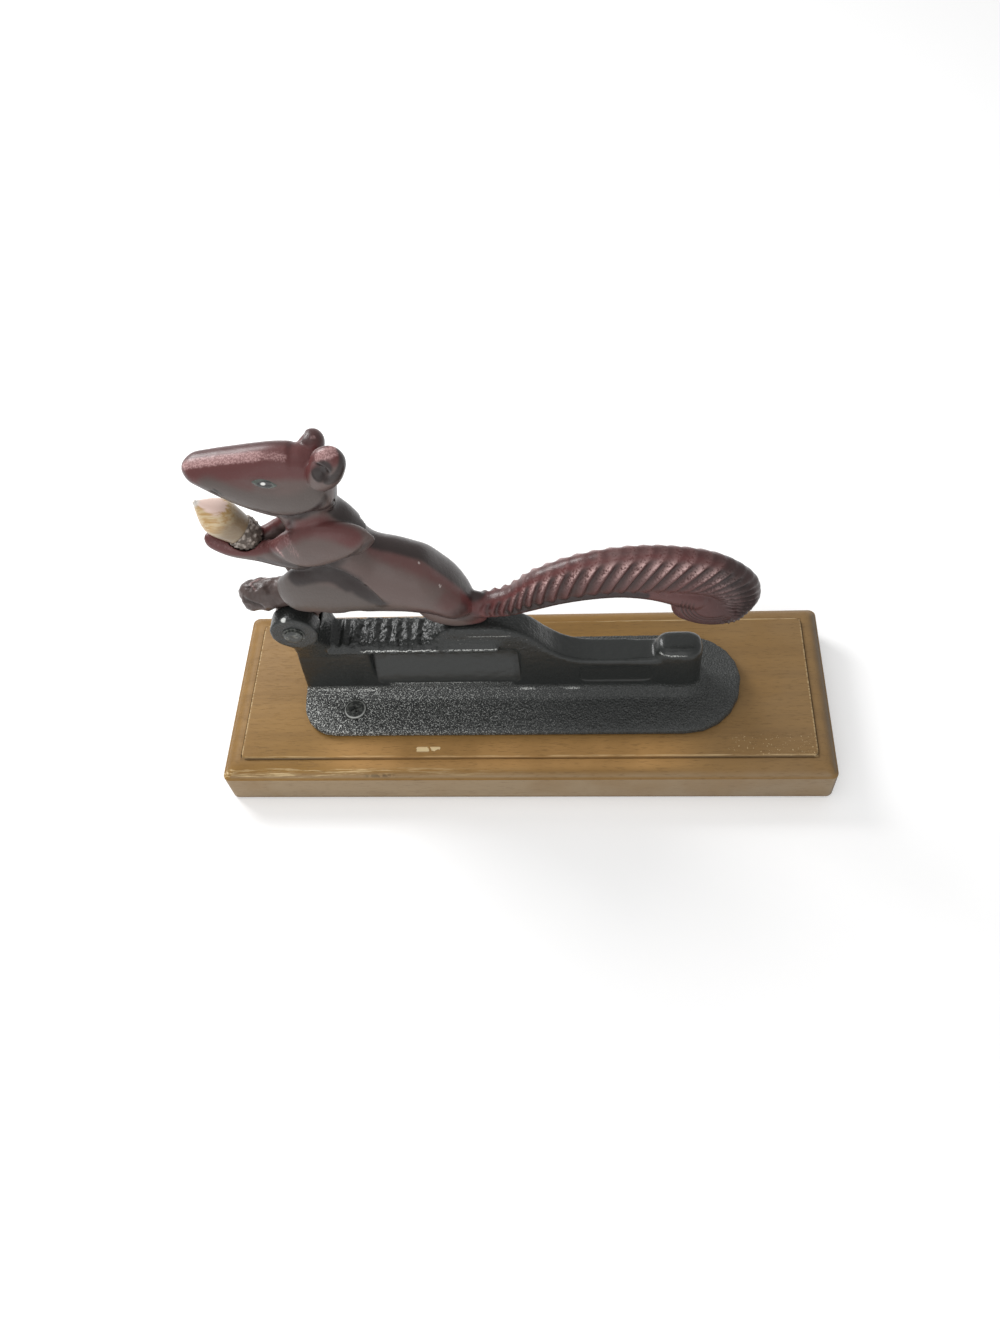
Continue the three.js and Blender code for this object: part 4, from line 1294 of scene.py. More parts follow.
@dataclass
class WoodScrews:
    """The two screws that hold the casting to the plaque, with crossed slots in their heads."""

    places: Sequence[Row] = SCREW_PLACES
    names: Sequence[str] = ("screw_near", "screw_far")
    head: float = 9.3 * MM
    shank: float = 4.2 * MM
    point: float = 7.3 * MM
    top: float = 26.3 * MM
    head_height: float = 2.8 * MM
    rim_drops: tuple[float, float] = (0.9 * MM, 0.35 * MM)
    crown_share: float = 0.9
    dish: tuple[float, float] = (0.5 * MM, 0.12 * MM)
    point_share: float = 0.15
    slot_draught: float = 0.45
    slot_share: float = 0.56
    slot_width: float = 1.1 * MM
    slot_height: float = 2.2 * MM
    slot_turn: float = 0.5

    def build(self) -> list[bpy.types.Object]:
        """Makes one screw and copies it.

        Returns:
            The screws, in the order of their places.
        """
        first = self._screw()
        screws = [first]
        for name in self.names[1:]:
            screw = first.copy()
            screw.data = first.data.copy()
            bpy.context.scene.collection.objects.link(screw)
            screw.name = name + "_steel"
            screws.append(screw)
        for screw, (x, y) in zip(screws, self.places):
            screw.location = (x, y, 0)
            Bench.settle(screw)
        return screws

    def _screw(self) -> bpy.types.Object:
        """Makes a screw on the origin's upright axis.

        Returns:
            The screw.
        """
        middle = (0, 0, (self.point + self.top) / 2)
        shank = (self.shank / 2, self.top - self.point, middle, 48)
        screw = Bench.drum(self.names[0] + "_steel", *shank, upright=True)
        wide = self.head / self.shank
        rows = (
            (self.top - self.head_height, 1.0),
            *((self.top - drop, wide) for drop in self.rim_drops),
            (self.top, wide * self.crown_share),
        )
        with Bench.editing(screw):
            Bench.choose(screw, "FACE", lambda f: f.normal.z > 0.9)
            last_z, last_share = self.top, 1.0
            for index, (z, share) in enumerate(rows):
                if index:
                    bpy.ops.mesh.extrude_region_move()
                bpy.ops.transform.translate(value=(0, 0, z - last_z))
                bpy.ops.transform.resize(
                    value=(share / last_share, share / last_share, 1),
                    center_override=(0, 0, z),
                )
                last_z, last_share = z, share
            inset, rise = self.dish
            bpy.ops.mesh.inset(thickness=inset, depth=rise)
            Bench.choose(screw, "FACE", lambda f: f.normal.z < -0.9)
            narrow = (self.point_share, self.point_share, 1)
            bpy.ops.transform.resize(value=narrow, center_override=(0, 0, self.point))
        for turn in (self.slot_turn, self.slot_turn + math.pi / 2):
            Bench.cut(screw, self._slot(turn))
        Bench.outward(screw)
        return Bench.smooth(screw, 30)

    def _slot(self, turn: float) -> bpy.types.Object:
        """Makes the tool that cuts one of the crossed slots.

        Args:
            turn: The slot's turn on Z.

        Returns:
            The tool, drawn in towards its lower end.
        """
        size = (self.head * self.slot_share, self.slot_width, self.slot_height)
        tool = Bench.block("slot_tool", size, (0, 0, self.top), turn)
        with Bench.editing(tool):
            Bench.choose(tool, "FACE", lambda f: f.normal.z < -0.9)
            narrow = (self.slot_draught, self.slot_draught, 1)
            bpy.ops.transform.resize(value=narrow, center_override=(0, 0, self.top))
        return tool


@dataclass
class Acorn:
    """The acorn: a turned shell with a pointed tip, and a scaly cup."""

    tip: tuple[float, float, float] = ACORN_TIP
    lean: float = ACORN_LEAN
    length: float = 28.6 * MM
    radius: float = 7 * MM
    rim_share: float = 0.82
    wall: float = 0.65 * MM
    cup_length: float = 9.3 * MM
    scale_length: float = 1.75 * MM
    scale_count: int = 11
    scale_depth: float = 0.75 * MM
    nut_shares: Sequence[Row] = (
        (0.04, 0.0), (0.11, 0.004), (0.14, 0.03), (0.2, 0.045), (0.42, 0.11), (0.7, 0.2),
        (0.91, 0.28), (1.0, 0.37), (0.97, 0.47), (0.9, 0.57), (0.82, 0.67), (0.72, 0.8),
    )
    cup_shares: Sequence[Row] = (
        (0.9, -0.02), (0.98, 0.02), (1.0, 0.12), (1.0, 0.3), (0.9, 0.55), (0.67, 0.78),
        (0.33, 0.94), (0.14, 0.97), (0.1, 1.0),
    )

    def build(self) -> tuple[bpy.types.Object, bpy.types.Object]:
        """Makes the two pieces.

        Returns:
            The nut and the cup.
        """
        nut = self._turned("acorn_kernel", self.nut_shares, self.radius, 0.0, self.length)
        rim = self.length - self.cup_length
        outer = self.radius * self.rim_share + self.wall
        cup = self._turned("acorn_cap", self.cup_shares, outer, rim, self.cup_length)
        Bench.modify(cup, "SUBSURF", levels=2, render_levels=2)
        self._scale(cup)
        Bench.modify(nut, "SUBSURF", levels=2, render_levels=2)
        return Bench.smooth(nut, 80), Bench.smooth(cup, 80)

    def _turned(
        self, name: str, shares: Sequence[Row], radius: float, start: float, length: float
    ) -> bpy.types.Object:
        """Turns a profile round the acorn's axis.

        Args:
            name: The piece's name.
            shares: The profile's radius and distance, in shares.
            radius: The full radius.
            start: Where the profile starts, from the tip.
            length: The profile's length.

        Returns:
            The closed shell.
        """
        forward = Vector((math.cos(self.lean), 0, -math.sin(self.lean)))
        across = Vector((0, 1, 0))
        up = forward.cross(across).normalized()
        rings = []
        for out, along in shares:
            centre = Vector(self.tip) + forward * (start + along * length)
            rings.append(ring_matrix(centre, across, up, out * radius, out * radius))
        piece = Bench.limb(name, rings, 32)
        return Bench.settle(piece)

    def _scale(self, cup: bpy.types.Object) -> None:
        """Raises rows of overlapping scales on the cup.

        Args:
            cup: The cup.
        """
        points = Bench.points(cup)
        normals = Bench.normals(cup)
        forward = np.array((math.cos(self.lean), 0, -math.sin(self.lean)))
        offset = points - np.array(self.tip)
        along = offset @ forward
        up = np.cross(forward, (0, 1, 0))
        turn = np.arctan2(offset @ up, offset[:, 1])
        rim = self.length - self.cup_length
        row = (along - rim) / self.scale_length
        odd = np.floor(row) % 2
        across = np.abs(((turn / (2 * math.pi) * self.scale_count + odd / 2) % 1) - 0.5) * 2
        scale = (1 - row % 1) * (1 - across**3)
        depth = (scale - 0.75) * self.scale_depth * eased(along, rim, rim + 0.8 * MM)
        Bench.place(cup, points + normals * depth[:, None])


def ring_matrix(centre: Vector, across: Vector, up: Vector, wide: float, high: float) -> Matrix:
    """Places the unit circle as an ellipse.

    Args:
        centre: The ellipse's middle.
        across: The direction of its width.
        up: The direction of its height.
        wide: Half its width.
        high: Half its height.

    Returns:
        The matrix.
    """
    normal = across.cross(up)
    matrix = Matrix.Identity(4)
    for index, column in enumerate((across * wide, up * high, normal * wide, centre)):
        for row in range(3):
            matrix[row][index] = column[row]
    return matrix


@dataclass
class Limb:
    """A rounded limb of the squirrel.

    Each station is x, y, z, half width and half height, in shares of the figure from the pin.
    """

    name: str
    stations: Sequence[Row]
    stops: int = 20
    sides: int = 32
    start_dome: float = 0.08
    end_dome: float = 0.08
    level: bool = False

    def rings(self, pin: Vector, length: float, width: float, height: float) -> list[Matrix]:
        """Works out the limb's rings.

        Args:
            pin: The hinge pin's middle.
            length: The figure's length.
            width: The figure's width.
            height: The figure's height.

        Returns:
            One matrix for each ring.
        """
        table = np.asarray(self.stations, float)
        spots = np.array(pin) + table[:, :3] * (length, width, height)
        rows = np.hstack([spots, table[:, 3:5] * (width, height)])
        dome = [(1 - math.cos(t), math.sin(t)) for t in np.linspace(0.25, math.pi / 2, 6)]
        stops = [(self.start_dome * a, s) for a, s in dome]
        middle = np.linspace(self.start_dome, 1 - self.end_dome, self.stops + 1)[1:-1]
        stops += [(float(t), 1.0) for t in middle]
        stops += [(1 - self.end_dome * a, s) for a, s in reversed(dome)]
        along = np.array([t for t, _ in stops])
        values = curve_through(rows, along)
        ahead = curve_through(rows[:, :3], np.clip(along + 0.005, 0, 1))
        behind = curve_through(rows[:, :3], np.clip(along - 0.005, 0, 1))
        made = []
        for value, forward, (_, swell) in zip(values, ahead - behind, stops):
            heading = Vector((1, 0, 0)) if self.level else Vector(forward).normalized()
            across = Vector((0, 0, 1)).cross(heading).normalized()
            up = heading.cross(across)
            wide, high = swell * value[3], swell * value[4]
            made.append(ring_matrix(Vector(value[:3]), across, up, wide, high))
        return made


@dataclass
class Line:
    """A line carved into the squirrel's flanks, drawn as x, z points seen from the side."""

    points: Sequence[Row]
    width: float
    depth: float
    lower: float = 1.0

    def groove(self, points: np.ndarray, normals: np.ndarray) -> tuple[np.ndarray, np.ndarray]:
        """Works out how deep in the line each vertex is.

        The groove is wider on its lower side by the factor `lower`.

        Args:
            points: The casting's vertices.
            normals: Their normals.

        Returns:
            The vertices near the line, and their depths from 0 to 1.
        """
        steps = 80
        path = curve_through(self.points, np.linspace(0, 1, steps)) * MM
        reach = 3 * self.width * max(1.0, self.lower)
        low, high = path.min(0) - reach, path.max(0) + reach
        flat = points[:, (0, 2)]
        inside = ((flat > low) & (flat < high)).all(1) & (np.abs(normals[:, 1]) > 0.2)
        near = np.flatnonzero(inside)
        offset = flat[near][:, None] - path[None]
        gaps = np.sqrt((offset**2).sum(2))
        index = gaps.argmin(1)
        below = offset[np.arange(len(near)), index, 1] < 0
        width = np.where(below, self.width * self.lower, self.width)
        ends = np.sin(np.pi * np.clip(index / (steps - 1), 0.0, 1.0)) ** 0.5
        return near, np.exp(-((gaps.min(1) / width) ** 2)) * ends


class Brushwork:
    """The strokes of paint on the squirrel, many of them painted sheen, highlights and shade."""

    @staticmethod
    def strokes() -> list[Stroke]:
        """Lists the strokes.

        Returns:
            The strokes, tint by tint.
        """
        red, grey, bright, dark = Tint.RED, Tint.GREY, Tint.BRIGHT, Tint.DARK
        crown = (
            (-104, -1, 160), (-97, 0, 164), (-88, 0, 166.5), (-77, 0, 168), (-68, 0, 167.5),
            (-61, -1, 165),
        )
        band = (
            (-103, -3.5, 160), (-97, -5.5, 161.8), (-90, -5.9, 163), (-82, -6, 163.9),
            (-73.7, -6.5, 164.1), (-66.6, -5.9, 163.6), (-62.3, -5.4, 162.9),
        )
        shoulder = (
            (-72, -9, 136), (-68, -8.8, 138), (-62.5, -9.4, 138.5), (-56.5, -10.3, 137.3),
            (-52.1, -11.2, 134.5),
        )
        forearm = (
            (-105, -3.5, 125.5), (-99, -4.5, 123.4), (-92, -4.8, 123.4), (-86, -4.8, 125.2),
            (-80, -7.4, 129), (-76, -8.5, 133),
        )
        stripe = (
            (-47.8, -3, 119.4), (-42.7, -4.1, 115.9), (-38, -4.5, 113.4), (-33.3, -5, 110.4),
            (-28.8, -4.4, 106.1), (-24.5, -3.2, 100.2), (-21.6, -4.4, 95.6),
        )
        ear_face = ((-61.5, -3, 162.5), (-60.5, -5, 165.5), (-58.5, -6.5, 169))
        cheek = (
            (-95, -7, 156), (-88, -8.3, 153.2), (-78, -9.4, 150.5), (-68, -9.2, 149.5),
            (-61, -8.4, 152),
        )
        snout = ((-103, -3.5, 158.5), (-97, -6.3, 158), (-90, -7.3, 157.5), (-84, -7.8, 158))
        rump = ((-24, -9.5, 95.5), (-20.5, -6.5, 91), (-25, -9.5, 87.5), (-34, -11, 86))
        thigh = (
            (-81, -10.5, 103), (-74.4, -13, 105.5), (-67.4, -13.6, 103.5), (-60.8, -13.4, 100),
            (-55, -12.6, 95.5),
        )
        shine = (
            (-103.2, -1.8, 162.2), (-100, -2.2, 163.2), (-95, -2.4, 164.2), (-90, -2.5, 164.9),
            (-83.5, -2.7, 165.8), (-78, -2.9, 166.3),
        )
        shine_end = ((-78, -2.9, 166.3), (-73, -3.2, 166.5), (-69.5, -3.7, 166.3))
        lip = ((-103.7, -3.3, 159), (-101.7, -5.2, 157), (-99, -6.4, 155.8), (-96, -7, 154.6))
        nick = ((-94.2, -7.7, 156), (-93.2, -7.7, 154.6), (-92.5, -7.8, 153.4))
        heel = ((-36, -11.4, 90.5), (-29.3, -11.5, 90), (-24.6, -11.4, 88), (-19, -7.5, 88))
        toe_glint = ((-99.7, -0.6, 95.9), (-98.4, -1.8, 95.6), (-97.3, -2.9, 95.3))
        foot_glint = ((-95.6, -2.6, 95.4), (-94.8, -3.4, 94.9), (-95.2, -4.7, 93.9))
        far_glint = ((-60.8, 4.2, 167), (-60.2, 4.6, 166.4))
        ear_shine = ((-55.2, -9.6, 171.9), (-52.1, -8.8, 173.2), (-50.3, -6.9, 172.5))
        elbow = ((-75.6, -8.6, 133.9), (-74.2, -11.5, 132), (-72.8, -13, 129.4))
        pink_arm = ((-80.2, -9, 127.4), (-78.8, -10.5, 126.8), (-77.8, -11.1, 125.5))
        back = (
            (-58, 1, 143), (-55, 2, 136.5), (-51.5, 3, 128), (-47, 3, 119.5), (-41.6, 3.2, 116),
            (-34.9, 3.4, 112.4), (-29, 3.6, 107), (-24.5, 3.6, 99.5), (-20.5, 3.6, 92.5),
            (-16.8, 3, 87.4),
        )
        nape = ((-58, -2, 141.5), (-55, -1.8, 136), (-52, -2.8, 131.1), (-48.5, -5, 127.5))
        ear_rim = (
            (-49.1, -6.5, 170.7), (-48.9, -10.1, 167.3), (-51.5, -11.5, 164.5), (-54, -11.9, 163.2),
        )
        ear_bowl = ((-54.2, -11, 169), (-56, -11.3, 167), (-57.4, -11, 165))
        far_ear = ((-62.5, 5, 167), (-61, 6, 165), (-59, 5.5, 163.5))
        fold = (
            (-76.4, -10.5, 113.6), (-70, -11.3, 116), (-64.5, -11.6, 116.4), (-60.7, -11.9, 114.6),
            (-57, -12.2, 110.8),
        )
        fold_end = ((-57, -12.2, 110.8), (-52.6, -12.4, 104.3), (-48.2, -12.1, 98.2))
        under_arm = (
            (-88.4, -7.1, 118.3), (-79, -10.6, 119.5), (-69.5, -12, 120), (-61, -11.3, 120),
        )
        foot = ((-105, 0, 92), (-98, -3, 92), (-91, -4, 90))
        under_thigh = ((-85.4, -7.8, 88), (-78.3, -8.3, 85), (-66, -9, 84), (-55, -9, 85))
        root = ((-18, -2, 90), (-14, -3, 85), (-8, -4, 82), (0, -5, 80))
        under_tail = (
            (-2, -5.2, 82), (5.7, -5.5, 85.2), (12.6, -5.4, 87.4), (19.3, -5.5, 89.3),
            (26.4, -5.5, 90.9), (33.8, -5.4, 91.9), (41.1, -5.4, 92.2), (48.4, -5.6, 91.6),
        )
        crown_top = (
            (-103, 2.5, 162.4), (-96, 3, 165), (-88, 3.4, 166.6), (-76.4, 3.6, 167.6),
            (-69, 3.2, 167.4),
        )
        heel_low = ((-34, -11.2, 87.5), (-27, -11.2, 86), (-22.2, -7.5, 82.5), (-17, -5.3, 79.6))
        ear_top = ((-60, -8.5, 168.5), (-56.5, -10, 171), (-52, -9, 172))
        crest = (
            (-17.6, 0, 84.1), (-3.7, 0, 88.5), (7, 0, 98.4), (20.9, 0, 105.8), (35.9, 0, 110.2),
            (49.8, 0, 111.6), (61.5, 0, 110.5), (73.8, 0, 106.9), (82.9, 0, 101.2), (89.4, 0, 94),
            (91.5, 0, 86.5),
        )
        end = ((80, -3, 101), (86, -4, 95), (89.5, -4, 88), (88, -4, 80))
        chin = (
            (-79, -7.8, 143.5), (-72, -8.3, 142.6), (-66.1, -8.6, 144), (-61.4, -8.6, 147.3),
            (-58.5, -7.5, 151),
        )
        shoulder_end = (
            (-46.8, -8.9, 129), (-49.7, -11.2, 128.7), (-55.4, -10.8, 123.2), (-60.8, -11.2, 119.1),
        )
        return [
            Stroke(red, crown, 4.6, 2.5), Stroke(red, band, 1.2, 5.5),
            Stroke(red, snout, 2.2, 4.0, 0.55), Stroke(red, heel, 2.0, 5.0, 0.5),
            Stroke(red, ear_top, 2.4, 3.0, 0.9),
            Stroke(red, lip, 2.0, 4.0, 0.9), Stroke(red, crest, 3.0, 2.0),
            Stroke(red, shoulder, 1.6, 5.0, 0.8), Stroke(red, forearm, 2.2, 2.6),
            Stroke(red, stripe, 1.0, 5.5, 0.6), Stroke(red, ear_face, 3.2, 2.0),
            Stroke(red, rump, 2.0, 6.5, 0.5), Stroke(red, root, 3.5, 3.0, 0.9),
            # Painted sheen on the cheek and the thigh.
            Stroke(grey, cheek, 2.6, 5.5, 0.85), Stroke(grey, thigh, 5.0, 6.0),
            # Painted highlights: the shine along the head and on the ear, and glints on the limbs
            # and the feet.
            Stroke(bright, shine, 0.9, 1.6, both=False),
            Stroke(bright, shine_end, 0.5, 1.8, 0.55, False),
            Stroke(bright, ear_shine, 1.1, 1.6), Stroke(bright, elbow, 0.8, 2.4, 0.3),
            Stroke(bright, forearm, 0.3, 2.2, 0.25),
            Stroke(bright, pink_arm, 0.25, 0.6), Stroke(bright, toe_glint, 0.25, 0.5),
            Stroke(bright, foot_glint, 0.2, 0.5), Stroke(bright, far_glint, 0.3, 0.7, 0.8, False),
            # Painted shade in the folds, the ears, the mouth and under the limbs and the tail;
            # darker paint along the back, the crest and the tail's end.
            Stroke(dark, back, 4.4, 3.6, both=False), Stroke(dark, nape, 2.6, 2.6, 0.95),
            Stroke(dark, lip, 0.8, 3.0, 0.5), Stroke(dark, nick, 0.5, 0.8, 0.9),
            Stroke(dark, heel, 0.8, 5.0, 0.55), Stroke(dark, heel_low, 1.6, 4.0, 0.6),
            Stroke(dark, crown_top, 1.8, 3.4, 0.45, False),
            Stroke(dark, ear_rim, 1.4, 1.6, 0.9), Stroke(dark, ear_bowl, 1.9, 1.6),
            Stroke(dark, far_ear, 2.0, 3.5, 0.6, False), Stroke(dark, fold, 2.2, 3.9),
            Stroke(dark, fold_end, 0.9, 3.4),
            Stroke(dark, under_arm, 0.8, 2.4, 0.7), Stroke(dark, foot, 5.5, 3.0, 0.45),
            Stroke(dark, under_thigh, 2.0, 3.0, 0.6), Stroke(dark, root, 1.0, 3.0, 0.3),
            Stroke(dark, under_tail, 1.0, 1.8, 0.9), Stroke(dark, crest, 1.2, 2.4, 0.45),
            Stroke(dark, end, 3.5, 4.0, 0.6), Stroke(dark, chin, 0.7, 1.6, 0.6),
            Stroke(dark, shoulder_end, 0.6, 1.5, 0.5),
        ]


@dataclass
class Squirrel:
    """The squirrel: body and ribbed tail in one casting, with an eye on each side.

    The limbs' tables hold shares of the figure's length, width and height, from the pin.
    The ribs run closer together near the tail's root by `rib_rush`, bend by `rib_bow`, and are
    highest at `rib_ridge` of the way from one valley to the next.
    """

    pin: tuple[float, float, float] = PIN
    length: float = 100 * MM
    width: float = 25 * MM
    height: float = 100 * MM
    grain: float = 0.47 * MM
    tail_root: float = -15.5 * MM
    tail_length: float = 107 * MM
    tail_rise: float = 44 * MM
    tail_thickness: float = 13 * MM
    rib_count: int = 30
    rib_rush: float = 3.2
    rib_depth: float = 1.45 * MM
    rib_bow: float = 0.012
    rib_ridge: float = 0.66
    rib_fade: tuple[float, float] = (0.1, 0.42)
    rib_flank: tuple[float, float] = (2.2 * MM, 0.6 * MM)
    curl_depth: float = 0.45 * MM
    curl_turn: float = math.radians(-125)
    curl_hub: tuple[float, float] = (6.5 * MM, 8 * MM)
    curl_rim: tuple[float, float] = (14 * MM, 12 * MM)
    curl_pitch: float = 1.5 * MM
    curl_centre: tuple[float, float] = (0.835, 0.13)
    tongue_radius: float = 8.2 * MM
    tongue_width: float = 8.4 * MM
    web_length: float = 26 * MM
    web_height: float = 16 * MM
    web_shift: float = 7 * MM
    web_taper: float = 12 * MM
    clevis_radius: float = 9.9 * MM
    clevis_width: float = 12 * MM
    pin_room: float = 3.3 * MM
    pin_room_length: float = 24 * MM
    pad_top: float = 72 * MM
    pad_middle: float = -29 * MM
    pad_room: tuple[float, float, float] = (62 * MM, 30 * MM, 20 * MM)
    acorn_room: float = 0.3 * MM
    bowl_depth: float = 2.2 * MM
    bowl_flat: float = 0.3
    foot_start: float = -100.5 * MM
    foot_length: float = 5.2 * MM
    foot_middle: float = 92.2 * MM
    foot_top: float = 100 * MM
    foot_power: float = 2.4
    foot_lumps: tuple[float, float] = (0.75 * MM, 4.6 * MM)
    eye: tuple[float, float] = EYE
    eye_half: tuple[float, float, float] = (4.3 * MM, 1.0 * MM, 1.7 * MM)
    eye_tilt: float = math.radians(-11)
    eye_sunk: float = 0.45 * MM
    eye_taper: float = 0.45
    socket_half: tuple[float, float] = (5.0 * MM, 2.1 * MM)
    socket_depth: float = 0.3 * MM
    socket_reach: float = 5 * MM
    socket_softness: float = 0.22

    TRUNK = (
        (0, 0, 0.17, 0.24, 0.05), (0.05, 0, 0.18, 0.38, 0.09), (0.095, 0, 0.2, 0.44, 0.13),
        (0.135, 0, 0.28, 0.46, 0.215), (0.2, 0, 0.31, 0.49, 0.275), (0.255, 0, 0.29, 0.5, 0.25),
        (0.303, 0, 0.27, 0.5, 0.234), (0.356, 0, 0.23, 0.5, 0.182), (0.436, 0, 0.213, 0.5, 0.163),
        (0.49, 0, 0.196, 0.5, 0.151), (0.543, 0, 0.175, 0.5, 0.136), (0.611, 0, 0.116, 0.48, 0.1),
        (0.7, 0, 0.04, 0.4, 0.075),
    )
    HEEL = (
        (0.45, 0, 0.06, 0.16, 0.05), (0.52, 0, 0.03, 0.23, 0.085), (0.59, 0, 0.005, 0.25, 0.09),
        (0.65, 0, 0, 0.24, 0.09), (0.72, 0, 0, 0.18, 0.08), (0.76, 0, 0.01, 0.12, 0.05),
    )
    NECK = (
        (0.225, 0, 0.42, 0.42, 0.15), (0.205, 0, 0.5, 0.4, 0.13), (0.181, 0, 0.57, 0.37, 0.11),
        (0.16, 0, 0.65, 0.35, 0.107), (0.152, 0, 0.73, 0.33, 0.108),
    )
    HEAD = (
        (0.29, 0, 0.738, 0.27, 0.088), (0.26, 0, 0.734, 0.34, 0.12),
        (0.22, 0, 0.729, 0.37, 0.142), (0.165, 0, 0.724, 0.385, 0.16),
        (0.085, 0, 0.736, 0.38, 0.153), (-0.005, 0, 0.757, 0.36, 0.121),
        (-0.085, 0, 0.78, 0.31, 0.085), (-0.148, 0, 0.798, 0.25, 0.055),
        (-0.203, 0, 0.81, 0.18, 0.033),
    )
    NEAR_EAR = (
        (0.26, -0.2, 0.78, 0.2, 0.045), (0.293, -0.26, 0.83, 0.2, 0.058),
        (0.32, -0.3, 0.89, 0.18, 0.058), (0.342, -0.31, 0.945, 0.14, 0.043),
    )
    FAR_EAR = (
        (0.2, 0.18, 0.785, 0.2, 0.042), (0.223, 0.21, 0.817, 0.2, 0.042),
        (0.243, 0.24, 0.85, 0.19, 0.04), (0.256, 0.25, 0.878, 0.16, 0.03),
    )
    ARM = (
        (0.4, -0.26, 0.49, 0.08, 0.03), (0.35, -0.31, 0.503, 0.17, 0.06),
        (0.275, -0.34, 0.51, 0.21, 0.088), (0.205, -0.35, 0.5, 0.22, 0.1),
        (0.13, -0.33, 0.462, 0.21, 0.092), (0.045, -0.22, 0.416, 0.17, 0.064),
        (-0.045, -0.125, 0.402, 0.14, 0.044), (-0.135, -0.1, 0.418, 0.14, 0.038),
        (-0.19, -0.09, 0.452, 0.13, 0.034), (-0.22, -0.09, 0.485, 0.1, 0.025),
    )
    FAR_ARM = (
        (0.23, 0.08, 0.42, 0.12, 0.05), (0.185, 0.2, 0.44, 0.17, 0.08),
        (0.12, 0.28, 0.44, 0.2, 0.086), (0.045, 0.22, 0.416, 0.17, 0.064),
        (-0.045, 0.125, 0.402, 0.14, 0.044), (-0.135, 0.1, 0.418, 0.14, 0.038),
        (-0.19, 0.09, 0.452, 0.13, 0.034), (-0.22, 0.09, 0.485, 0.1, 0.025),
    )
    THIGH = (
        (0, -0.22, 0.17, 0.16, 0.06), (0.065, -0.31, 0.21, 0.2, 0.1),
        (0.155, -0.34, 0.245, 0.22, 0.138), (0.255, -0.34, 0.243, 0.21, 0.135),
        (0.335, -0.31, 0.205, 0.18, 0.1), (0.405, -0.26, 0.16, 0.12, 0.055),
    )
    FOOT = (
        (0.04, 0, 0.14, 0.24, 0.07), (-0.04, 0, 0.115, 0.24, 0.06),
        (-0.12, 0, 0.108, 0.26, 0.064), (-0.165, 0, 0.104, 0.25, 0.062),
        (-0.2, 0, 0.095, 0.2, 0.05),
    )
    # The tail's rows are root x, z, crest x, z and half thickness, in shares of the tail.
    TAIL = (
        (0.01, -0.05, -0.02, 0.115, 0.4), (0.1, -0.03, 0.11, 0.215, 0.42),
        (0.19, 0.03, 0.21, 0.44, 0.46), (0.29, 0.12, 0.34, 0.61, 0.49),
        (0.4, 0.185, 0.48, 0.71, 0.5), (0.5, 0.21, 0.61, 0.74, 0.5),
        (0.59, 0.215, 0.72, 0.715, 0.5), (0.68, 0.225, 0.835, 0.635, 0.5),
        (0.74, 0.225, 0.92, 0.505, 0.48), (0.79, 0.215, 0.98, 0.34, 0.46),
        (0.82, 0.17, 1, 0.17, 0.43), (0.85, 0.1, 0.995, 0.05, 0.42),
        (0.88, 0.02, 0.965, -0.06, 0.42), (0.89, -0.04, 0.93, -0.14, 0.4),
        (0.87, -0.08, 0.89, -0.19, 0.38),
    )
    # The rows of the curl and the shaft are x, z, half width and half height.
    CURL = (
        (0.7, 0.1, 0.38, 0.12), (0.75, 0.03, 0.42, 0.19), (0.8, 0, 0.46, 0.23),
        (0.855, -0.02, 0.46, 0.235), (0.91, 0, 0.46, 0.2), (0.955, 0.05, 0.38, 0.12),
    )
    SHAFT = (
        (-0.08, 0.02, 0.4, 0.085), (0.1, 0.04, 0.42, 0.085), (0.2, 0.12, 0.43, 0.09),
        (0.3, 0.21, 0.44, 0.09), (0.41, 0.27, 0.44, 0.09), (0.52, 0.29, 0.44, 0.09),
        (0.63, 0.26, 0.46, 0.11), (0.74, 0.17, 0.48, 0.14), (0.83, 0.08, 0.48, 0.14),
    )
    FOOT_ZONE = ((Axis.X, -87, -92), (Axis.Z, 102, 99))
    # Each ear's bowl is its x, y, z and radius in millimetres, and the way that it faces.
    BOWLS = (
        ((-56.3, -11.4, 166.6), 4.4, (-0.3, -0.95, 0.0)),
        ((-63.5, 6.5, 164.0), 3.2, (-0.8, 0.5, 0.1)),
    )

    def build(self) -> tuple[bpy.types.Object, list[bpy.types.Object]]:
        """Makes the casting and its eyes.

        Returns:
            The casting and the two eyes.
        """
        casting = Bench.join(*self._bodies())
        casting.name = "squirrel_casting"
        Bench.melt(casting, self.grain, 5)
        self._clear_hinge(casting)
        Bench.melt(casting, self.grain, 2)
        self._carve_ribs(casting)
        self._carve_curl(casting)
        for line in self._lines():
            self._carve(casting, line)
        self._hollow_ears(casting)
        self._round_foot(casting)
        eyes = [self._eye(casting, side) for side in (-1, 1)]
        Bench.modify(casting, "DECIMATE", ratio=self._ratio(casting))
        self._record_grooves(casting)
        return Bench.smooth(casting, 75), eyes

    @staticmethod
    def _ratio(piece: bpy.types.Object, most: int = 180_000) -> float:
        """Works out the share of faces to keep, so that a piece stays under a count."""
        triangles = sum(len(face.vertices) - 2 for face in piece.data.polygons)
        return min(1.0, most / triangles)

    def _limb(self, limb: Limb) -> bpy.types.Object:
        """Draws one limb."""
        rings = limb.rings(Vector(self.pin), self.length, self.width, self.height)
        return Bench.settle(Bench.limb(limb.name, rings, limb.sides))

    @staticmethod
    def _mirrored(stations: Sequence[Row]) -> list[Row]:
        """Turns a limb's stations into those of the other side."""
        return [(x, -y, *rest) for x, y, *rest in stations]

